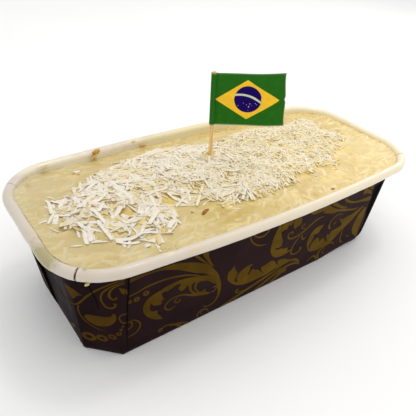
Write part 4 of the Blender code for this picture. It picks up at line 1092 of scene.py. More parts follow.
def makePrint(name, turned, bands, leaves, rings, proud, finish):
    # turned: the same ornament on the other half of the case
    def place(a, h, out):
        return onWall(a + (halfWay / mm if turned else 0.0), h, out)

    points = []
    quads = []
    triangles = []
    first = 0
    for path in bands:
        flat = bandGrid(path)
        count = flat.shape[0]
        top = place(flat[..., 0], flat[..., 1], proud)
        low = place(flat[..., 0], flat[..., 1], -printShape["sunk"])
        quads.append(boardFaces(count, 3, first))
        points += [top.reshape(-1, 3), low.reshape(-1, 3)]
        first += 2 * count * 3
    for leaf in leaves:
        closed = np.array(leaf + leaf[:1], float)
        flat, faces = filledShape(smoothPath(closed, 4)[:-1], printShape["grid"])
        made = sheetOfTriangles(flat, faces, place, proud, printShape["sunk"], first)
        points.append(made[0])
        triangles.append(made[1])
        quads.append(made[2])
        first += len(made[0])
    around = np.linspace(0, 2 * math.pi, 29)
    for a, h, outer, inner in rings:
        radius = np.stack([around * 0 + inner, around * 0 + outer], -1)
        flat = np.stack([a + radius * np.cos(around)[:, None], h + radius * np.sin(around)[:, None]], -1)
        quads.append(boardFaces(len(around), 2, first)[:, ::-1])
        points.append(place(flat[..., 0], flat[..., 1], proud).reshape(-1, 3))
        points.append(place(flat[..., 0], flat[..., 1], -printShape["sunk"]).reshape(-1, 3))
        first += 4 * len(around)
    triangleRows = np.concatenate(triangles) if triangles else None
    piece = putMesh(name, np.concatenate(points), np.concatenate(quads), triangleRows, (finish,), None, 60.0)
    return onRoot(piece, "printed_board")


makePrint("goldPrintNear", False, printBands, printLeaves, printRings, printShape["proud"], finishes["gold"])
makePrint("goldPrintFar", True, printBands, printLeaves, printRings, printShape["proud"], finishes["gold"])
# painted shadow lines along the crease and the near tab's edge
makePrint("paintedCreaseShadows", False, paintedShadowLines, [], [], printShape["darkProud"], finishes["paintedShade"])
print("gold print made")


cakeShape = {
    "edgeHeight": 0.0490, "middleHeight": 0.0532, "overlap": 0.00015, "columns": (46, 300, 46), "rows": 168,
    "borderNear": 0.0509, "borderFar": 0.0501, "borderLeft": 0.0534, "borderRight": 0.0524,
    "lump": 0.00025, "fibres": 900, "fibreLength": (0.003, 0.010), "fibreHeight": 0.00016,
    "mound": 0.0031, "seed": 5,
}
# outline of the shredded coconut on the cake, and a bare patch in it
heapOutline = np.array([
    (-96.9, -0.8), (-94.8, -3.5), (-92.4, -5.6), (-89.7, -5.6), (-88.7, -9.1), (-87.7, -12.6), (-88.0, -18.8),
    (-85.7, -21.5), (-82.6, -19.1), (-80.6, -21.7), (-78.2, -24.2), (-75.9, -25.6), (-72.4, -26.8), (-70.7, -28.2),
    (-68.5, -30.0), (-67.1, -33.2), (-64.2, -34.2), (-60.0, -33.4), (-56.4, -31.8), (-50.8, -27.6), (-46.8, -24.0),
    (-40.9, -19.4), (-36.4, -20.2), (-31.2, -20.4), (-26.8, -20.2), (-25.9, -23.2), (-24.3, -27.4), (-21.3, -29.8),
    (-14.2, -26.8), (-9.4, -29.2), (-2.1, -30.5), (8.3, -27.6), (16.1, -27.7), (25.6, -26.5), (31.6, -27.5),
    (41.6, -24.0), (49.1, -25.4), (53.0, -27.4), (58.9, -19.0), (63.4, -13.4), (81.1, -5.6), (84.3, 3.3),
    (79.6, 8.6), (82.8, 23.0), (77.8, 28.6), (64.0, 26.9), (50.8, 26.8), (37.9, 29.9), (27.8, 30.3), (15.6, 27.7),
    (6.5, 22.8), (0.3, 27.1), (-5.2, 28.5), (-12.8, 28.5), (-19.4, 30.5), (-28.0, 31.1), (-34.9, 31.0),
    (-40.8, 30.5), (-44.7, 31.3), (-50.4, 28.6), (-55.4, 26.9), (-59.8, 26.0), (-66.0, 21.1), (-71.1, 18.0),
    (-77.1, 14.7), (-83.1, 10.8), (-86.6, 8.5), (-87.1, 14.8), (-88.3, 16.3), (-90.2, 8.8), (-90.9, 3.6),
    (-94.4, 0.8)]) * mm
# thin places where the custard shows: x, y, size in x and y, strength
thinPlaces = [(-0.0652, -0.0142, 0.0056, 0.0042, 0.93), (-0.0436, -0.0133, 0.0062, 0.0042, 0.93),
              (-0.0285, -0.0115, 0.0042, 0.0042, 0.85), (0.0230, -0.0080, 0.0030, 0.0020, 0.5),
              (-0.0120, -0.0120, 0.0030, 0.0040, 0.6), (0.0350, 0.0060, 0.0040, 0.0020, 0.5)]


def heapAway(x, y):
    # how far inside the coconut's uneven border a place lies
    flatX = np.ravel(x)
    flatY = np.ravel(y)
    away = np.concatenate([outlineAway(flatX[i:i + 20000], flatY[i:i + 20000], heapOutline)
                           for i in range(0, len(flatX), 20000)]).reshape(np.shape(x))
    return away + 0.002 * valueNoise(x, y, 0.006, 3)


def heapShare(x, y, away):
    # 0 outside the coconut, 1 well inside it, less in the thin places
    share = smoothStep(away, -0.0005, 0.0055)
    for placeX, placeY, sizeX, sizeY, strength in thinPlaces:
        share = share * (1 - strength * np.exp(-((x - placeX) / sizeX) ** 2 - ((y - placeY) / sizeY) ** 2))
    return share


def domeHeight(x, y):
    # crown: 1 - |x|^4 times 1 - |y|^2.5, from the border's height to the middle's, with slow lumps
    along = np.clip(np.abs(x) / 0.1, 0, 1)
    across = np.clip(np.abs(y) / 0.044, 0, 1)
    crown = (1 - along ** 4) * (1 - across ** 2.5)
    lumps = valueNoise(x, y, 0.014, 11) + 0.5 * valueNoise(x, y, 0.006, 12)
    side = 0.5 + 0.5 * np.clip(y / 0.040, -1, 1)
    sideBorder = cakeShape["borderNear"] + (cakeShape["borderFar"] - cakeShape["borderNear"]) * side
    endBorder = np.where(x < 0, cakeShape["borderLeft"], cakeShape["borderRight"])
    border = sideBorder + (endBorder - sideBorder) * along ** 5
    return border + (cakeShape["middleHeight"] - border) * crown + cakeShape["lump"] * lumps * np.clip(3 * crown, 0, 1)


def moundHeight(x, y, away):
    # lowest layer of packed coconut, thickest in the middle of the heap
    uneven = 1 + 0.22 * valueNoise(x, y, 0.010, 21) + 0.20 * valueNoise(x, y, 0.0035, 22)
    share = 0.4 * smoothStep(away, -0.0005, 0.004) + 0.6 * smoothStep(away, 0.0, 0.015)
    return cakeShape["mound"] * share * uneven * (0.35 + 0.65 * heapShare(x, y, away))


def cakeGrid():
    # near and far borders by turn; straight lines join them across the cake
    left, middle, right = cakeShape["columns"]
    turns = np.concatenate([np.linspace(-1, 0, left, endpoint=False), np.linspace(0, 1, middle, endpoint=False),
                            np.linspace(1, 2, right)])
    borders = []
    for around in (turns, 5 - turns):
        level = np.full(len(turns), cakeShape["edgeHeight"])
        for passing in range(3):
            # the border lies higher up the board, and so further out, where the cake is fuller
            border = whiteFace(around, level)
            level = domeHeight(border[:, 0], border[:, 1])
        borders.append(border + np.append(outwardOf(rimLine, around), level[:, None] * 0, 1) * cakeShape["overlap"])
    near, far = borders
    # rows are closer together at both borders
    share = np.linspace(-1, 1, cakeShape["rows"])
    share = 0.5 + 0.5 * np.sin(share * math.pi / 2 * 0.86) / math.sin(math.pi / 2 * 0.86)
    return near[None] * (1 - share[:, None, None]) + far[None] * share[:, None, None]


def stampFibres(grid):
    # strands of grated coconut baked into the custard: low ridges along short bent lines
    rng = np.random.default_rng(cakeShape["seed"])
    rows, columns = grid.shape[:2]
    ridge = np.zeros((rows, columns))
    for index in range(cakeShape["fibres"]):
        r = rng.integers(3, rows - 3)
        c = rng.integers(3, columns - 3)
        centre = grid[r, c, :2]
        length = rng.uniform(*cakeShape["fibreLength"])
        heading = rng.normal(0.1, 0.6)
        bend = rng.uniform(-110, 110)
        width = rng.uniform(0.00035, 0.00100)
        height = rng.uniform(0.25, 1.0) * (1 if rng.random() > 0.2 else -0.6)
        part = (slice(max(r - 24, 0), r + 24), slice(max(c - 24, 0), c + 24))
        offset = grid[part][..., :2] - centre
        along = offset[..., 0] * math.cos(heading) + offset[..., 1] * math.sin(heading)
        across = -offset[..., 0] * math.sin(heading) + offset[..., 1] * math.cos(heading) - bend * along ** 2 * 0.5
        mark = np.exp(-(across / width) ** 2) * smoothStep(length / 2 - np.abs(along), 0, 0.001)
        ridge[part] = np.where(np.abs(mark * height) > np.abs(ridge[part]), mark * height, ridge[part])
    return ridge


def makeCake():
    grid = cakeGrid()
    rows, columns = grid.shape[:2]
    x = grid[..., 0]
    y = grid[..., 1]
    away = heapAway(x, y)
    topping = heapShare(x, y, away)
    ridge = stampFibres(grid)
    border = np.minimum(np.arange(rows), np.arange(rows)[::-1])[:, None]
    border = np.minimum(border, np.minimum(np.arange(columns), np.arange(columns)[::-1])[None] * 0.8)
    rounding = -0.0002 * np.exp(-border / 1.6)
    fine = 0.00009 * valueNoise(x, y, 0.0026, 31) + 0.00003 * valueNoise(x, y, 0.0010, 32)
    packed = topping * 0.0004 * valueNoise(x, y, 0.0014, 33)
    fade = np.clip(border / 4, 0.1, 1)
    grid[..., 2] = domeHeight(x, y) + moundHeight(x, y, away) + rounding
    grid[..., 2] += (fine + packed + ridge * cakeShape["fibreHeight"]) * fade
    # dimples and burst bubbles in the baked surface
    for px, py, radius, depth in ((-0.0897, -0.0080, 0.0012, 0.0008), (-0.0720, 0.0200, 0.0010, 0.0003),
                                  (0.0200, -0.0385, 0.0010, 0.0004), (-0.0700, -0.0345, 0.0009, 0.0003)):
        grid[..., 2] -= depth * np.exp(-((x - px) ** 2 + (y - py) ** 2) / radius ** 2)
    # the border goes down the inside of the case and closes underneath
    number = np.arange(rows * columns).reshape(rows, columns)
    loop = np.concatenate([number[0], number[1:, -1], number[-1, -2::-1], number[-2:0:-1, 0]])
    edge = grid.reshape(-1, 3)[loop]
    skirt = [edge - (0, 0, 0.0010), edge * (0.985, 0.97, 1) - (0, 0, 0.0050)]
    skirt.append(skirt[-1] * (0.7, 0.6, 1))
    rings = np.stack([edge, *skirt])
    count = len(loop)
    start = rows * columns
    sides = gridQuads(len(rings), count, True, 0)[:, ::-1]
    lookup = np.concatenate([loop, start + np.arange(count * len(skirt))])
    sides = lookup[sides]
    last = start + count * (len(skirt) - 1) + np.arange(count)
    closing = np.stack([np.roll(last, -1), last, last * 0 + start + count * len(skirt)], -1)
    middle = skirt[-1].mean(0)[None]
    points = np.concatenate([grid.reshape(-1, 3), *skirt, middle])
    piece = putMesh("cakeTop", points, np.concatenate([gridQuads(rows, columns), sides]), closing,
                    (finishes["custard"],), None, 60.0)
    extra = np.zeros(len(points) - rows * columns)
    lightFibre = np.clip(ridge, 0, 1) * (1 - 0.3 * topping) * 0.62
    keepShare(piece, "fibre", np.concatenate([lightFibre.ravel(), extra]))
    keepShare(piece, "topping", np.concatenate([topping.ravel() * 0.8, extra]))
    return onRoot(piece, "baked_cake", "cake")


makeCake()
print("cake made")


shredShape = {
    "count": 4300, "strays": 30, "seed": 8, "cell": 0.0005, "samples": 7, "maxTilt": 0.24,
    "lengthLeft": (0.0035, 0.0165), "lengthRight": (0.0022, 0.0090),
    "widthLeft": (0.0009, 0.0025), "widthRight": (0.0004, 0.0012),
    "thickness": (0.00016, 0.00032), "bend": 60.0, "pickClear": 0.0016, "strayLength": 0.0048, "curl": 0.0009,
}
pickShape = {
    "entry": (-0.00644, 0.00918, 0.0570), "axis": (-1.40, 1.16, 41.4), "radius": 0.00094, "out": 0.0416,
    "length": 0.0650, "point": 0.0070, "pointRadius": 0.00025,
}


def dropShreds():
    # each shred comes to rest on what lies below it, and then raises the heap there
    rng = np.random.default_rng(shredShape["seed"])
    cell = shredShape["cell"]
    gridX = np.arange(-0.098, 0.098, cell)
    gridY = np.arange(-0.045, 0.045, cell)
    placeX, placeY = np.meshgrid(gridX, gridY, indexing="ij")
    away = heapAway(placeX, placeY)
    height = domeHeight(placeX, placeY) + moundHeight(placeX, placeY, away)
    wanted = heapShare(placeX, placeY, away)
    full = heapShare(placeX, placeY, placeX * 0 + 1)
    # fewer are needed where they are broad
    thin = 0.36 + 0.64 * smoothStep(placeX, -0.075, -0.005)
    weight = (wanted * thin).ravel()
    chosen = rng.choice(weight.size, shredShape["count"], p=weight / weight.sum())
    centreX = placeX.ravel()[chosen] + rng.uniform(-cell, cell, len(chosen))
    centreY = placeY.ravel()[chosen] + rng.uniform(-cell, cell, len(chosen))
    # strays lie on the bare cake around the heap
    border = rng.integers(0, len(heapOutline), shredShape["strays"])
    strays = heapOutline[border] + rng.normal(0, 0.0015, (shredShape["strays"], 2))
    centreX = np.concatenate([centreX, strays[:, 0]])
    centreY = np.concatenate([centreY, strays[:, 1]])
    samples = np.linspace(-0.5, 0.5, shredShape["samples"])
    entry = pickShape["entry"]
    found = []
    for number, (x, y) in enumerate(zip(centreX, centreY)):
        stray = number >= shredShape["count"]
        # broad strips at the left, finer and shorter ones towards the right
        leftness = float(np.clip(0.42 - x / 0.11, 0, 1))
        widths = [shredShape["widthRight"][k] + (shredShape["widthLeft"][k] - shredShape["widthRight"][k]) * leftness
                  for k in (0, 1)]
        lengths = [shredShape["lengthRight"][k]
                   + (shredShape["lengthLeft"][k] - shredShape["lengthRight"][k]) * leftness for k in (0, 1)]
        width = widths[0] + (widths[1] - widths[0]) * rng.beta(1.4, 2.4)
        length = lengths[0] + (lengths[1] - lengths[0]) * rng.beta(1.5, 2.4)
        if rng.random() < 0.05 + 0.45 * leftness * (x > -0.02):
            length *= 1.3
        if stray:
            length = min(length, shredShape["strayLength"])
            width *= 0.6
        thickness = rng.uniform(*shredShape["thickness"])
        heading = rng.uniform(0, math.pi)
        bend = rng.normal(0, shredShape["bend"])
        along = samples * length
        across = 0.5 * bend * along ** 2
        across = across - across.mean()
        pathX = x + along * math.cos(heading) - across * math.sin(heading)
        pathY = y + along * math.sin(heading) + across * math.cos(heading)
        if np.hypot(pathX - entry[0], pathY - entry[1]).min() < shredShape["pickClear"] + width / 2:
            continue
        edgeRoom = (np.abs(pathX / 0.0945) ** 8 + np.abs(pathY / 0.0385) ** 8).max()
        if edgeRoom > 1:
            continue
        column = np.clip(((pathX - gridX[0]) / cell).astype(int), 0, len(gridX) - 1)
        row = np.clip(((pathY - gridY[0]) / cell).astype(int), 0, len(gridY) - 1)
        if not stray and away[column, row].min() < -0.0006 and rng.random() < 0.93:
            continue
        if full[column, row].min() < 0.45 and rng.random() < 0.82:
            continue
        # soft strips drape over what lies there; a few ends curl up
        under = height[column, row]
        padded = np.concatenate([under[:1], under, under[-1:]])
        draped = (padded[:-2] + 2 * under + padded[2:]) / 4
        tilt = float(np.clip(np.polyfit(along, draped, 1)[0], -shredShape["maxTilt"], shredShape["maxTilt"]))
        straight = tilt * along + draped.mean()
        level = draped + (straight - draped) * rng.uniform(0.3, 1.0)
        level = level + np.maximum(draped - level, 0).max() * rng.uniform(0.1, 0.4 + 0.6 * leftness)
        if rng.random() < 0.22:
            level = level + shredShape["curl"] * rng.random() * np.clip(samples * rng.choice((-2, 2)), 0, 1) ** 2
        rest = float(level.mean())
        sag = rest + tilt * along - level
        top = level + thickness * (0.55 + 0.3 * leftness)
        reach = max(int(width / cell / 2), 0)
        for shift in range(-reach, reach + 1):
            sideColumn = np.clip(column - round(shift * math.sin(heading)), 0, len(gridX) - 1)
            sideRow = np.clip(row + round(shift * math.cos(heading)), 0, len(gridY) - 1)
            height[sideColumn, sideRow] = np.maximum(height[sideColumn, sideRow], top)
        found.append((x, y, rest, heading, bend, tilt, length, width, thickness, number / shredShape["count"],
                      rng.normal(0, 0.22), *sag))
    print("top of the coconut", round(float(height.max()), 5))
    return np.array(found), (gridX, gridY, height)


def makeShreds(found):
    # a flat strip carried along a bent path: four rings of four points for each shred
    rng = np.random.default_rng(shredShape["seed"] + 1)
    x, y, rest, heading, bend, tilt, length, width, thickness, order, roll = found[:, :11].T
    sagSamples = found[:, 11:]
    rings = 4
    pick = np.round(np.linspace(0, shredShape["samples"] - 1, rings)).astype(int)
    share = np.linspace(-0.5, 0.5, rings)
    sag = sagSamples[:, pick]
    along = share[None] * length[:, None]
    across = 0.5 * bend[:, None] * along ** 2
    across = across - across.mean(1, keepdims=True)
    cosine = np.cos(heading)[:, None]
    sine = np.sin(heading)[:, None]
    centre = np.stack([x[:, None] + along * cosine - across * sine, y[:, None] + along * sine + across * cosine,
                       rest[:, None] + tilt[:, None] * along - sag + thickness[:, None] / 2], -1)
    turn = heading[:, None] + bend[:, None] * along
    twist = roll[:, None] + rng.normal(0, 0.25, len(x))[:, None] * share[None] * 2
    side = np.stack([-np.sin(turn) * np.cos(twist), np.cos(turn) * np.cos(twist), np.sin(twist)], -1)
    up = np.stack([np.sin(turn) * np.sin(twist), -np.cos(turn) * np.sin(twist), np.cos(twist)], -1)
    taper = 1 - rng.uniform(0.05, 0.6, (len(x), 1)) * np.abs(share[None] * 2) ** 3
    skew = 1 + 0.25 * rng.normal(0, 1, (len(x), 1)) * share[None]
    halfWidth = width[:, None] / 2 * taper * skew
    halfThick = (thickness[:, None] / 2 * (0.75 + 0.25 * taper))
    corners = ((-1, -1), (1, -1), (1, 1), (-1, 1))
    points = np.stack([centre + side * (halfWidth * a)[..., None] + up * (halfThick * b)[..., None]
                       for a, b in corners], 2)
    points += rng.normal(0, 0.00004, points.shape)
    count = len(x)
    one = gridQuads(rings, 4, True)
    last = (rings - 1) * 4
    caps = np.array([(3, 2, 1, 0), (last, last + 1, last + 2, last + 3)])
    one = np.concatenate([one, caps])
    quads = (np.arange(count)[:, None, None] * rings * 4 + one[None]).reshape(-1, 4)
    piece = putMesh("coconutShreds", points.reshape(-1, 3), quads, None, (finishes["coconut"],), None, 50.0)
    # painted shade: shreds dropped first lie lowest and get most of the duller, golden colour; a random part varies
    # the tone
    lowShadeAndTone = np.clip(0.95 - 1.15 * order + rng.normal(0, 0.22, count), 0, 1)
    keepShare(piece, "shadeAndTone", np.repeat(lowShadeAndTone, rings * 4))
    return onRoot(piece, "coconut_shreds")


# the longest strips: places along each one, then its width, all in mm
longStrips = [
    ([(-88.1, 14.0), (-88.0, 11.0), (-89.3, 5.1), (-89.9, 2.4)], 1.4),
    ([(-88.8, 0.5), (-85.2, -3.3), (-80.7, -4.0), (-76.4, -7.3), (-75.5, -11.8), (-75.1, -16.8)], 1.7),
    ([(-75.7, -24.6), (-69.6, -26.8), (-65.1, -27.6), (-59.8, -29.0)], 1.8),
    ([(-75.7, -25.4), (-71.7, -28.4), (-67.8, -29.4)], 1.6),
    ([(-84.1, -9.4), (-83.1, -13.4), (-81.0, -17.2)], 1.5),
    ([(-84.1, -15.6), (-85.1, -18.6), (-85.4, -21.6)], 1.6),
    ([(-71.9, -14.3), (-65.4, -9.5)], 2.1),
    ([(-48.8, -18.8), (-53.4, -19.1), (-58.6, -23.3), (-61.2, -25.0)], 1.9),
    ([(-43.2, -9.3), (-40.4, -14.0), (-37.4, -18.1)], 1.7),
    ([(-60.9, 8.6), (-59.9, 1.0), (-59.0, -7.5)], 2.0),
    ([(-77.4, 5.7), (-70.6, 5.0), (-64.4, 3.8)], 1.5),
    ([(-43.9, 27.1), (-36.2, 27.3), (-26.0, 28.1)], 1.4),
    ([(-54.6, -28.6), (-49.8, -25.2)], 2.2),
    ([(-67.4, -32.2), (-65.2, -33.0)], 2.0),
    ([(-96.4, -0.7), (-92.8, -0.4)], 1.1),
    ([(-93.4, -2.7), (-88.6, 2.6)], 1.3),
    ([(-68.8, 31.0), (-65.4, 31.6)], 1.4),
    ([(-35.5, -20.9), (-29.6, -15.3), (-24.8, -10.2)], 1.3),
    ([(-9.3, -20.3), (-8.7, -24.5), (-9.1, -29.0)], 1.2),
    ([(73.8, -4.1), (83.7, -4.0)], 0.9),
    ([(-81.8, 10.1), (-85.9, 4.0)], 2.0),
    ([(-88.4, 0.7), (-91.5, -4.5)], 2.0),
    ([(-86.5, 12.0), (-83.5, 8.7)], 1.6),
    ([(-66.8, -12.8), (-64.9, -16.2)], 2.2),
    ([(-70.0, -2.9), (-75.0, -8.7)], 1.6),
    ([(-77.2, -12.9), (-77.4, -18.6), (-76.8, -24.4)], 1.7),
    ([(-61.0, 24.3), (-60.2, 17.8)], 1.7),
    ([(-72.8, 8.8), (-65.1, 13.0)], 1.5),
]


def makeStrips(bed):
    # ribbons that lie on the finished heap: rings of six points, thin at their long edges
    gridX, gridY, height = bed
    cell = shredShape["cell"]
    points = []
    quads = []
    fans = []
    first = 0
    for number, (places, width) in enumerate(longStrips):
        path = smoothPath(np.array(places) * mm, 7)
        step = np.gradient(path, axis=0)
        step /= np.linalg.norm(step, axis=1, keepdims=True)
        across = np.stack([-step[:, 1], step[:, 0]], -1)
        level = np.zeros(len(path))
        for shift in (-0.4, 0, 0.4):
            spot = path + across * width * mm * shift
            column = np.clip(((spot[:, 0] - gridX[0]) / cell).astype(int), 0, len(gridX) - 1)
            row = np.clip(((spot[:, 1] - gridY[0]) / cell).astype(int), 0, len(gridY) - 1)
            level = np.maximum(level, height[column, row])
        padded = np.concatenate([level[:1], level[:1], level, level[-1:], level[-1:]])
        level = (padded[:-4] + padded[1:-3] + padded[2:-2] + padded[3:-1] + padded[4:]) / 5
        share = np.linspace(-1, 1, len(path))
        level = level + 0.0004 * np.sin(share * 2.5 + number) * np.abs(share) ** 2
        half = width * mm / 2 * (1 - 0.25 * np.abs(share) ** 8) * (1 + 0.06 * np.sin(share * 7 + number))
        tilt = 0.18 * np.sin(share * 2 + number * 1.7)
        rings = []
        for side, rise in ((-1, 0), (-0.6, -0.00014), (0.6, -0.00014), (1, 0), (0.6, 0.00014), (-0.6, 0.00014)):
            flat = path + across * (half * side * np.cos(tilt))[:, None]
            lift = level + rise + half * side * np.sin(tilt) + 0.00014
            rings.append(np.concatenate([flat, lift[:, None]], 1))
        faces = loftFaces(len(path), len(rings), first)
        points.append(loftPoints(np.stack(rings, 1)))
        quads.append(faces[0])
        fans.append(faces[1])
        first += len(points[-1])
    piece = putMesh("coconutStrips", np.concatenate(points), np.concatenate(quads), np.concatenate(fans),
                    (finishes["coconut"],), None, 70.0)
    keepShare(piece, "shadeAndTone", np.zeros(first))
    return onRoot(piece, "coconut_shreds")


dropped, coconutBed = dropShreds()
makeShreds(dropped)
makeStrips(coconutBed)
print("coconut made")


def makePick():
    # profile turned about the pick's axis: radius against the distance from the point
    length = pickShape["length"]
    radius = pickShape["radius"]
    point = pickShape["point"]
    profile = np.array([
        (0.0, pickShape["pointRadius"] * 0.5), (0.0003, pickShape["pointRadius"]), (point * 0.5, radius * 0.62),
        (point, radius), *[(point + (length - point) * s, radius * (1 + 0.02 * math.sin(s * 17)))
                           for s in np.linspace(0.04, 0.95, 24)],
        (length - 0.0004, radius * 0.98), (length - 0.00015, radius * 0.92), (length, radius * 0.75)])
    axis = np.array(pickShape["axis"])
    axis = axis / np.linalg.norm(axis)
    side = np.cross(axis, (0, 1, 0))
    side /= np.linalg.norm(side)
    other = np.cross(axis, side)
    around = np.linspace(0, 2 * math.pi, 28, endpoint=False)
    start = np.array(pickShape["entry"]) - axis * (length - pickShape["out"])
    ring = side[None] * np.cos(around)[:, None] + other[None] * np.sin(around)[:, None]
    rings = start + axis * profile[:, None, :1] + ring[None] * profile[:, None, 1:]
    quads, fans = loftFaces(len(rings), len(around))
    piece = putMesh("woodenPick", loftPoints(rings), quads, fans, (finishes["wood"],), None, 40.0)
    return onRoot(piece, "pick_wood", "pick")


flagShape = {
    "bottom": 0.0160, "top": 0.0409, "direction": (0.771, -0.637), "reachTop": 0.0322, "reachBottom": 0.0340,
    "rise": 0.0031, "wave": 0.0007, "dip": 0.00025, "sleeve": 0.00125, "offset": 0.00013, "thickness": 0.00016,
    "steps": 64, "sleeveSteps": 26, "rows": 36,
}


def makeFlag():
    # path in plan: the near layer from the free edge to the pick, round it, and back; carried upwards
    shape = flagShape
    direction = np.array(shape["direction"])
    direction = direction / np.linalg.norm(direction)
    normal = np.array([-direction[1], direction[0]])
    start = math.sqrt(shape["sleeve"] ** 2 - shape["offset"] ** 2)
    opening = math.asin(shape["offset"] / shape["sleeve"])
    share = np.linspace(0, 1, shape["steps"] + 1)[1:]
    angle = np.linspace(-opening, opening - 2 * math.pi, shape["sleeveSteps"])
    axis = np.array(pickShape["axis"])
    axis = axis / np.linalg.norm(axis)
    up = np.linspace(0, 1, shape["rows"])[:, None]
    onPick = np.array(pickShape["entry"]) + axis * (shape["bottom"] + (shape["top"] - shape["bottom"]) * up)
    reach = shape["reachBottom"] + (shape["reachTop"] - shape["reachBottom"]) * up
    # a small nick in the free edge
    reach = reach - 0.0005 * np.exp(-((up - 0.52) / 0.03) ** 2) - 0.0002 * np.sin(up * 9)
    parts = []
    for layer, shares in ((-1, share[::-1]), (1, share)):
        s = shares[None]
        wave = shape["wave"] * np.sin(2 * math.pi * (s + 0.12 * up)) * s
        # a soft fold line stands near the pick
        fold = 0.00012 * np.exp(-((s - 0.085) / 0.012) ** 2)
        moved = layer * shape["offset"] + wave - fold
        flat = onPick[:, None, :2] + direction * (reach * s)[..., None] + normal * moved[..., None]
        lift = onPick[:, 2:] + shape["rise"] * s - shape["dip"] * np.sin(math.pi * s)
        parts.append(np.concatenate([flat, lift[..., None]], -1))
    roll = direction * np.cos(angle)[:, None] + normal * np.sin(angle)[:, None]
    sleeve = onPick[:, None, :2] + roll[None] * shape["sleeve"]
    sleeve = np.concatenate([sleeve, np.repeat(onPick[:, 2:], len(angle), 1)[..., None]], -1)
    grid = np.concatenate([parts[0], sleeve, parts[1]], 1)
    u = np.concatenate([share[::-1], angle * 0, share])
    rows, columns = grid.shape[:2]
    sideways = gridNormals(grid)
    outer = grid + sideways * shape["thickness"] / 2
    inner = grid - sideways * shape["thickness"] / 2
    quads = boardFaces(rows, columns)
    points = np.concatenate([outer.reshape(-1, 3), inner.reshape(-1, 3)])
    piece = putMesh("paperFlag", points, quads, None, (finishes["flag"],), None, 50.0)
    place = np.stack([np.broadcast_to(u[None], (rows, columns)), np.broadcast_to(up, (rows, columns))], -1)
    both = np.concatenate([place.reshape(-1, 2)] * 2)
    layer = piece.data.uv_layers.new(name="sheet")
    corner = np.zeros(len(piece.data.loops), np.int32)
    piece.data.loops.foreach_get("vertex_index", corner)
    layer.data.foreach_set("uv", both[corner].astype(np.float32).ravel())
    edge = np.zeros((rows, columns))
    edge[0] = 0.6
    edge[-1] = 0.2
    edge[:, 0] = edge[:, -1] = 0.4
    keepShare(piece, "cutEdge", np.concatenate([edge.ravel()] * 2))
    return onRoot(piece, "flag_paper", "flag")


makePick()
makeFlag()
print("pick and flag made")


def makeBits(name, bits, finish, slotName, seed):
    # uneven pebbles: a ball with three slow waves over it, stretched and turned about +Z
    rng = np.random.default_rng(seed)
    around = np.linspace(0, 2 * math.pi, 14, endpoint=False)
    upward = np.linspace(-1.35, 1.35, 9)
    points = []
    quads = []
    fans = []
    first = 0
    for x, y, z, sizeX, sizeY, sizeZ, heading in bits:
        phase = rng.uniform(0, 6.28, 3)
        a, b = np.meshgrid(around, upward)
        radius = 1 + 0.22 * np.sin(2 * a + phase[0]) + 0.18 * np.sin(3 * a + 4 * b + phase[1])
        radius = radius + 0.11 * np.sin(7 * a - 5 * b + phase[2])
        flatX = radius * np.cos(a) * np.cos(b) * sizeX
        flatY = radius * np.sin(a) * np.cos(b) * sizeY
        turned = np.stack([x + flatX * math.cos(heading) - flatY * math.sin(heading),
                           y + flatX * math.sin(heading) + flatY * math.cos(heading),
                           z + np.sin(b) * sizeZ * (0.8 + 0.2 * radius)], -1)
        faces = loftFaces(len(upward), len(around), first)
        points.append(loftPoints(turned))
        quads.append(faces[0])
        fans.append(faces[1])
        first += len(points[-1])
    piece = putMesh(name, np.concatenate(points), np.concatenate(quads), np.concatenate(fans), (finish,), None, 70.0)
    return onRoot(piece, slotName)


def onCake(x, y):
    return float(domeHeight(np.array(x), np.array(y)))


burntBits = [
    (-0.0342, -0.0255, onCake(-0.0342, -0.0255), 0.0024, 0.0010, 0.0004, 0.3),
    (-0.0395, -0.0235, onCake(-0.0395, -0.0235), 0.0006, 0.0005, 0.0003, 0.0),
    (0.0326, -0.0388, onCake(0.0326, -0.0388), 0.0014, 0.0007, 0.0003, 0.2),
]
makeBits("burntBits", burntBits, finishes["burnt"], "baked_cake", 3)
crustBits = [
    (-0.0524, 0.0412, 0.0542, 0.0023, 0.0010, 0.0011, 0.2),
    (-0.0548, 0.0394, 0.0528, 0.0017, 0.0010, 0.0006, 0.7),
    (-0.0536, 0.0390, 0.0505, 0.0013, 0.0010, 0.0007, 0.6),
    (-0.0269, 0.0402, 0.0520, 0.0018, 0.0006, 0.0005, 0.1),
    (-0.0884, 0.0305, 0.0495, 0.0008, 0.0006, 0.0003, 0.0),
    (-0.0925, 0.0179, 0.0494, 0.0008, 0.0006, 0.0003, 0.4),
    (-0.0925, -0.0155, 0.0494, 0.0008, 0.0006, 0.0003, 0.9),
    (-0.0697, 0.0298, onCake(-0.0697, 0.0298), 0.0008, 0.0005, 0.0003, 0.0),
    (-0.0674, 0.0286, onCake(-0.0674, 0.0286), 0.0007, 0.0005, 0.0003, 0.0),
    (-0.0700, -0.0350, 0.0500, 0.0005, 0.0004, 0.0002, 0.3),
]
makeBits("brownedBits", crustBits, finishes["crust"], "baked_cake", 4)
custardBits = [
    (-0.0932, -0.0378, 0.0496, 0.0010, 0.0006, 0.0005, 0.5),
    (-0.0925, -0.0352, 0.0549, 0.0006, 0.0005, 0.0003, 0.2),
    (-0.0620, -0.0402, 0.0547, 0.0012, 0.0006, 0.0003, 0.1),
    (-0.0590, -0.0412, 0.0548, 0.0008, 0.0006, 0.0003, 0.9),
    (-0.0640, -0.0386, 0.0541, 0.0007, 0.0005, 0.0003, 2.0),
    (-0.0310, 0.0432, 0.0541, 0.0022, 0.0008, 0.0004, 0.1),
    (-0.0800, 0.0375, 0.0545, 0.0025, 0.0007, 0.0003, 0.3),
    (-0.0900, 0.0290, 0.0546, 0.0018, 0.0006, 0.0003, 0.9),
    (0.0350, 0.0440, 0.0541, 0.0020, 0.0007, 0.0004, 0.0),
    (0.0620, 0.0425, 0.0542, 0.0016, 0.0007, 0.0004, -0.1),
]
makeBits("custardBits", custardBits, finishes["custard"], "baked_cake", 6)
print("bits made")


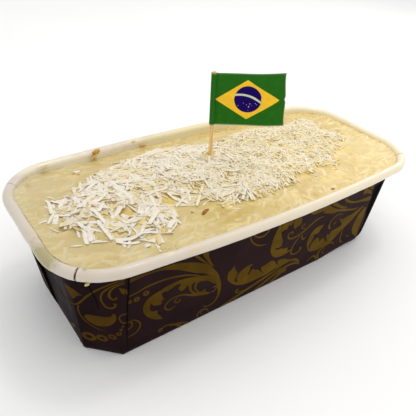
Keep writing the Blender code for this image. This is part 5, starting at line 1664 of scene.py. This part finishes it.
studio = {
    "floor": (0.93, 0.93, 0.93), "ambient": 0.90,
    "lights": (
        ("skyBox", (0.15, 0.02, 0.75), (0.02, 0, 0.03), 0.8, 1.1, (1.0, 0.985, 0.96)),
        ("smallLamp", (0.16, 0.03, 0.80), (0, 0, 0.03), 0.13, 0.5, (1.0, 0.98, 0.95)),
        ("windowRight", (0.70, 0.20, 0.45), (0.03, 0, 0.05), 0.5, 0.7, (1.0, 0.965, 0.90)),
    ),
    "focal": 470.6, "eye": (-0.13808, -0.15304, 0.16624), "right": (0.80440, -0.58775, 0.08655),
    "up": (0.27463, 0.49707, 0.82311), "back": (-0.52681, -0.63833, 0.56125),
}


def makeStudio():
    material, tree, shader, place = newMaterial("paleFloor", Roughness=0.75, Specular_IOR_Level=0.2)
    patches = useGroup(tree, "mottle", {
        "Scale": 8.0, "Low": 0.3, "High": 0.7, "First": (*studio["floor"], 1),
        "Second": (0.91, 0.91, 0.91, 1)}, {"Vector": place})
    tree.links.new(patches.outputs["Colour"], shader.inputs["Base Color"])
    r, c = np.meshgrid(np.linspace(-2.5, 2.5, 9), np.linspace(-2.5, 2.5, 9), indexing="ij")
    points = np.stack([r, c, r * 0 - 0.00005], -1).reshape(-1, 3)
    floor = putMesh("floor", points, gridQuads(9, 9)[:, ::-1], None, (material,))
    world = bpy.data.worlds.new("studio")
    bpy.context.scene.world = world
    world.use_nodes = True
    tree = world.node_tree
    background = tree.nodes["Background"]
    background.inputs["Color"].default_value = (1, 1, 1, 1)
    path = tree.nodes.new("ShaderNodeLightPath")
    level = addNode(tree, "ShaderNodeMapRange", {"To Min": studio["ambient"], "To Max": 1.0}, {
        "Value": path.outputs["Is Camera Ray"]})
    tree.links.new(level.outputs[0], background.inputs["Strength"])
    for name, spot, target, size, power, colour in studio["lights"]:
        lamp = bpy.data.lights.new(name, "AREA")
        lamp.shape = "DISK"
        lamp.size = size
        lamp.energy = power
        lamp.color = colour
        thing = bpy.data.objects.new(name, lamp)
        thing.location = spot
        aim = Vector(target) - Vector(spot)
        thing.rotation_euler = aim.to_track_quat("-Z", "Y").to_euler()
        bpy.context.scene.collection.objects.link(thing)


def makeCamera():
    lens = bpy.data.cameras.new("camera")
    lens.sensor_width = 36.0
    lens.lens = studio["focal"] * 36.0 / 416.0
    lens.clip_start = 0.005
    lens.dof.use_dof = False
    camera = bpy.data.objects.new("camera", lens)
    turned = Matrix((studio["right"], studio["up"], studio["back"])).transposed()
    camera.matrix_world = Matrix.Translation(studio["eye"]) @ turned.to_4x4()
    bpy.context.scene.collection.objects.link(camera)
    bpy.context.scene.camera = camera


makeStudio()
makeCamera()
bpy.context.scene.view_settings.view_transform = "Standard"
print("studio made")
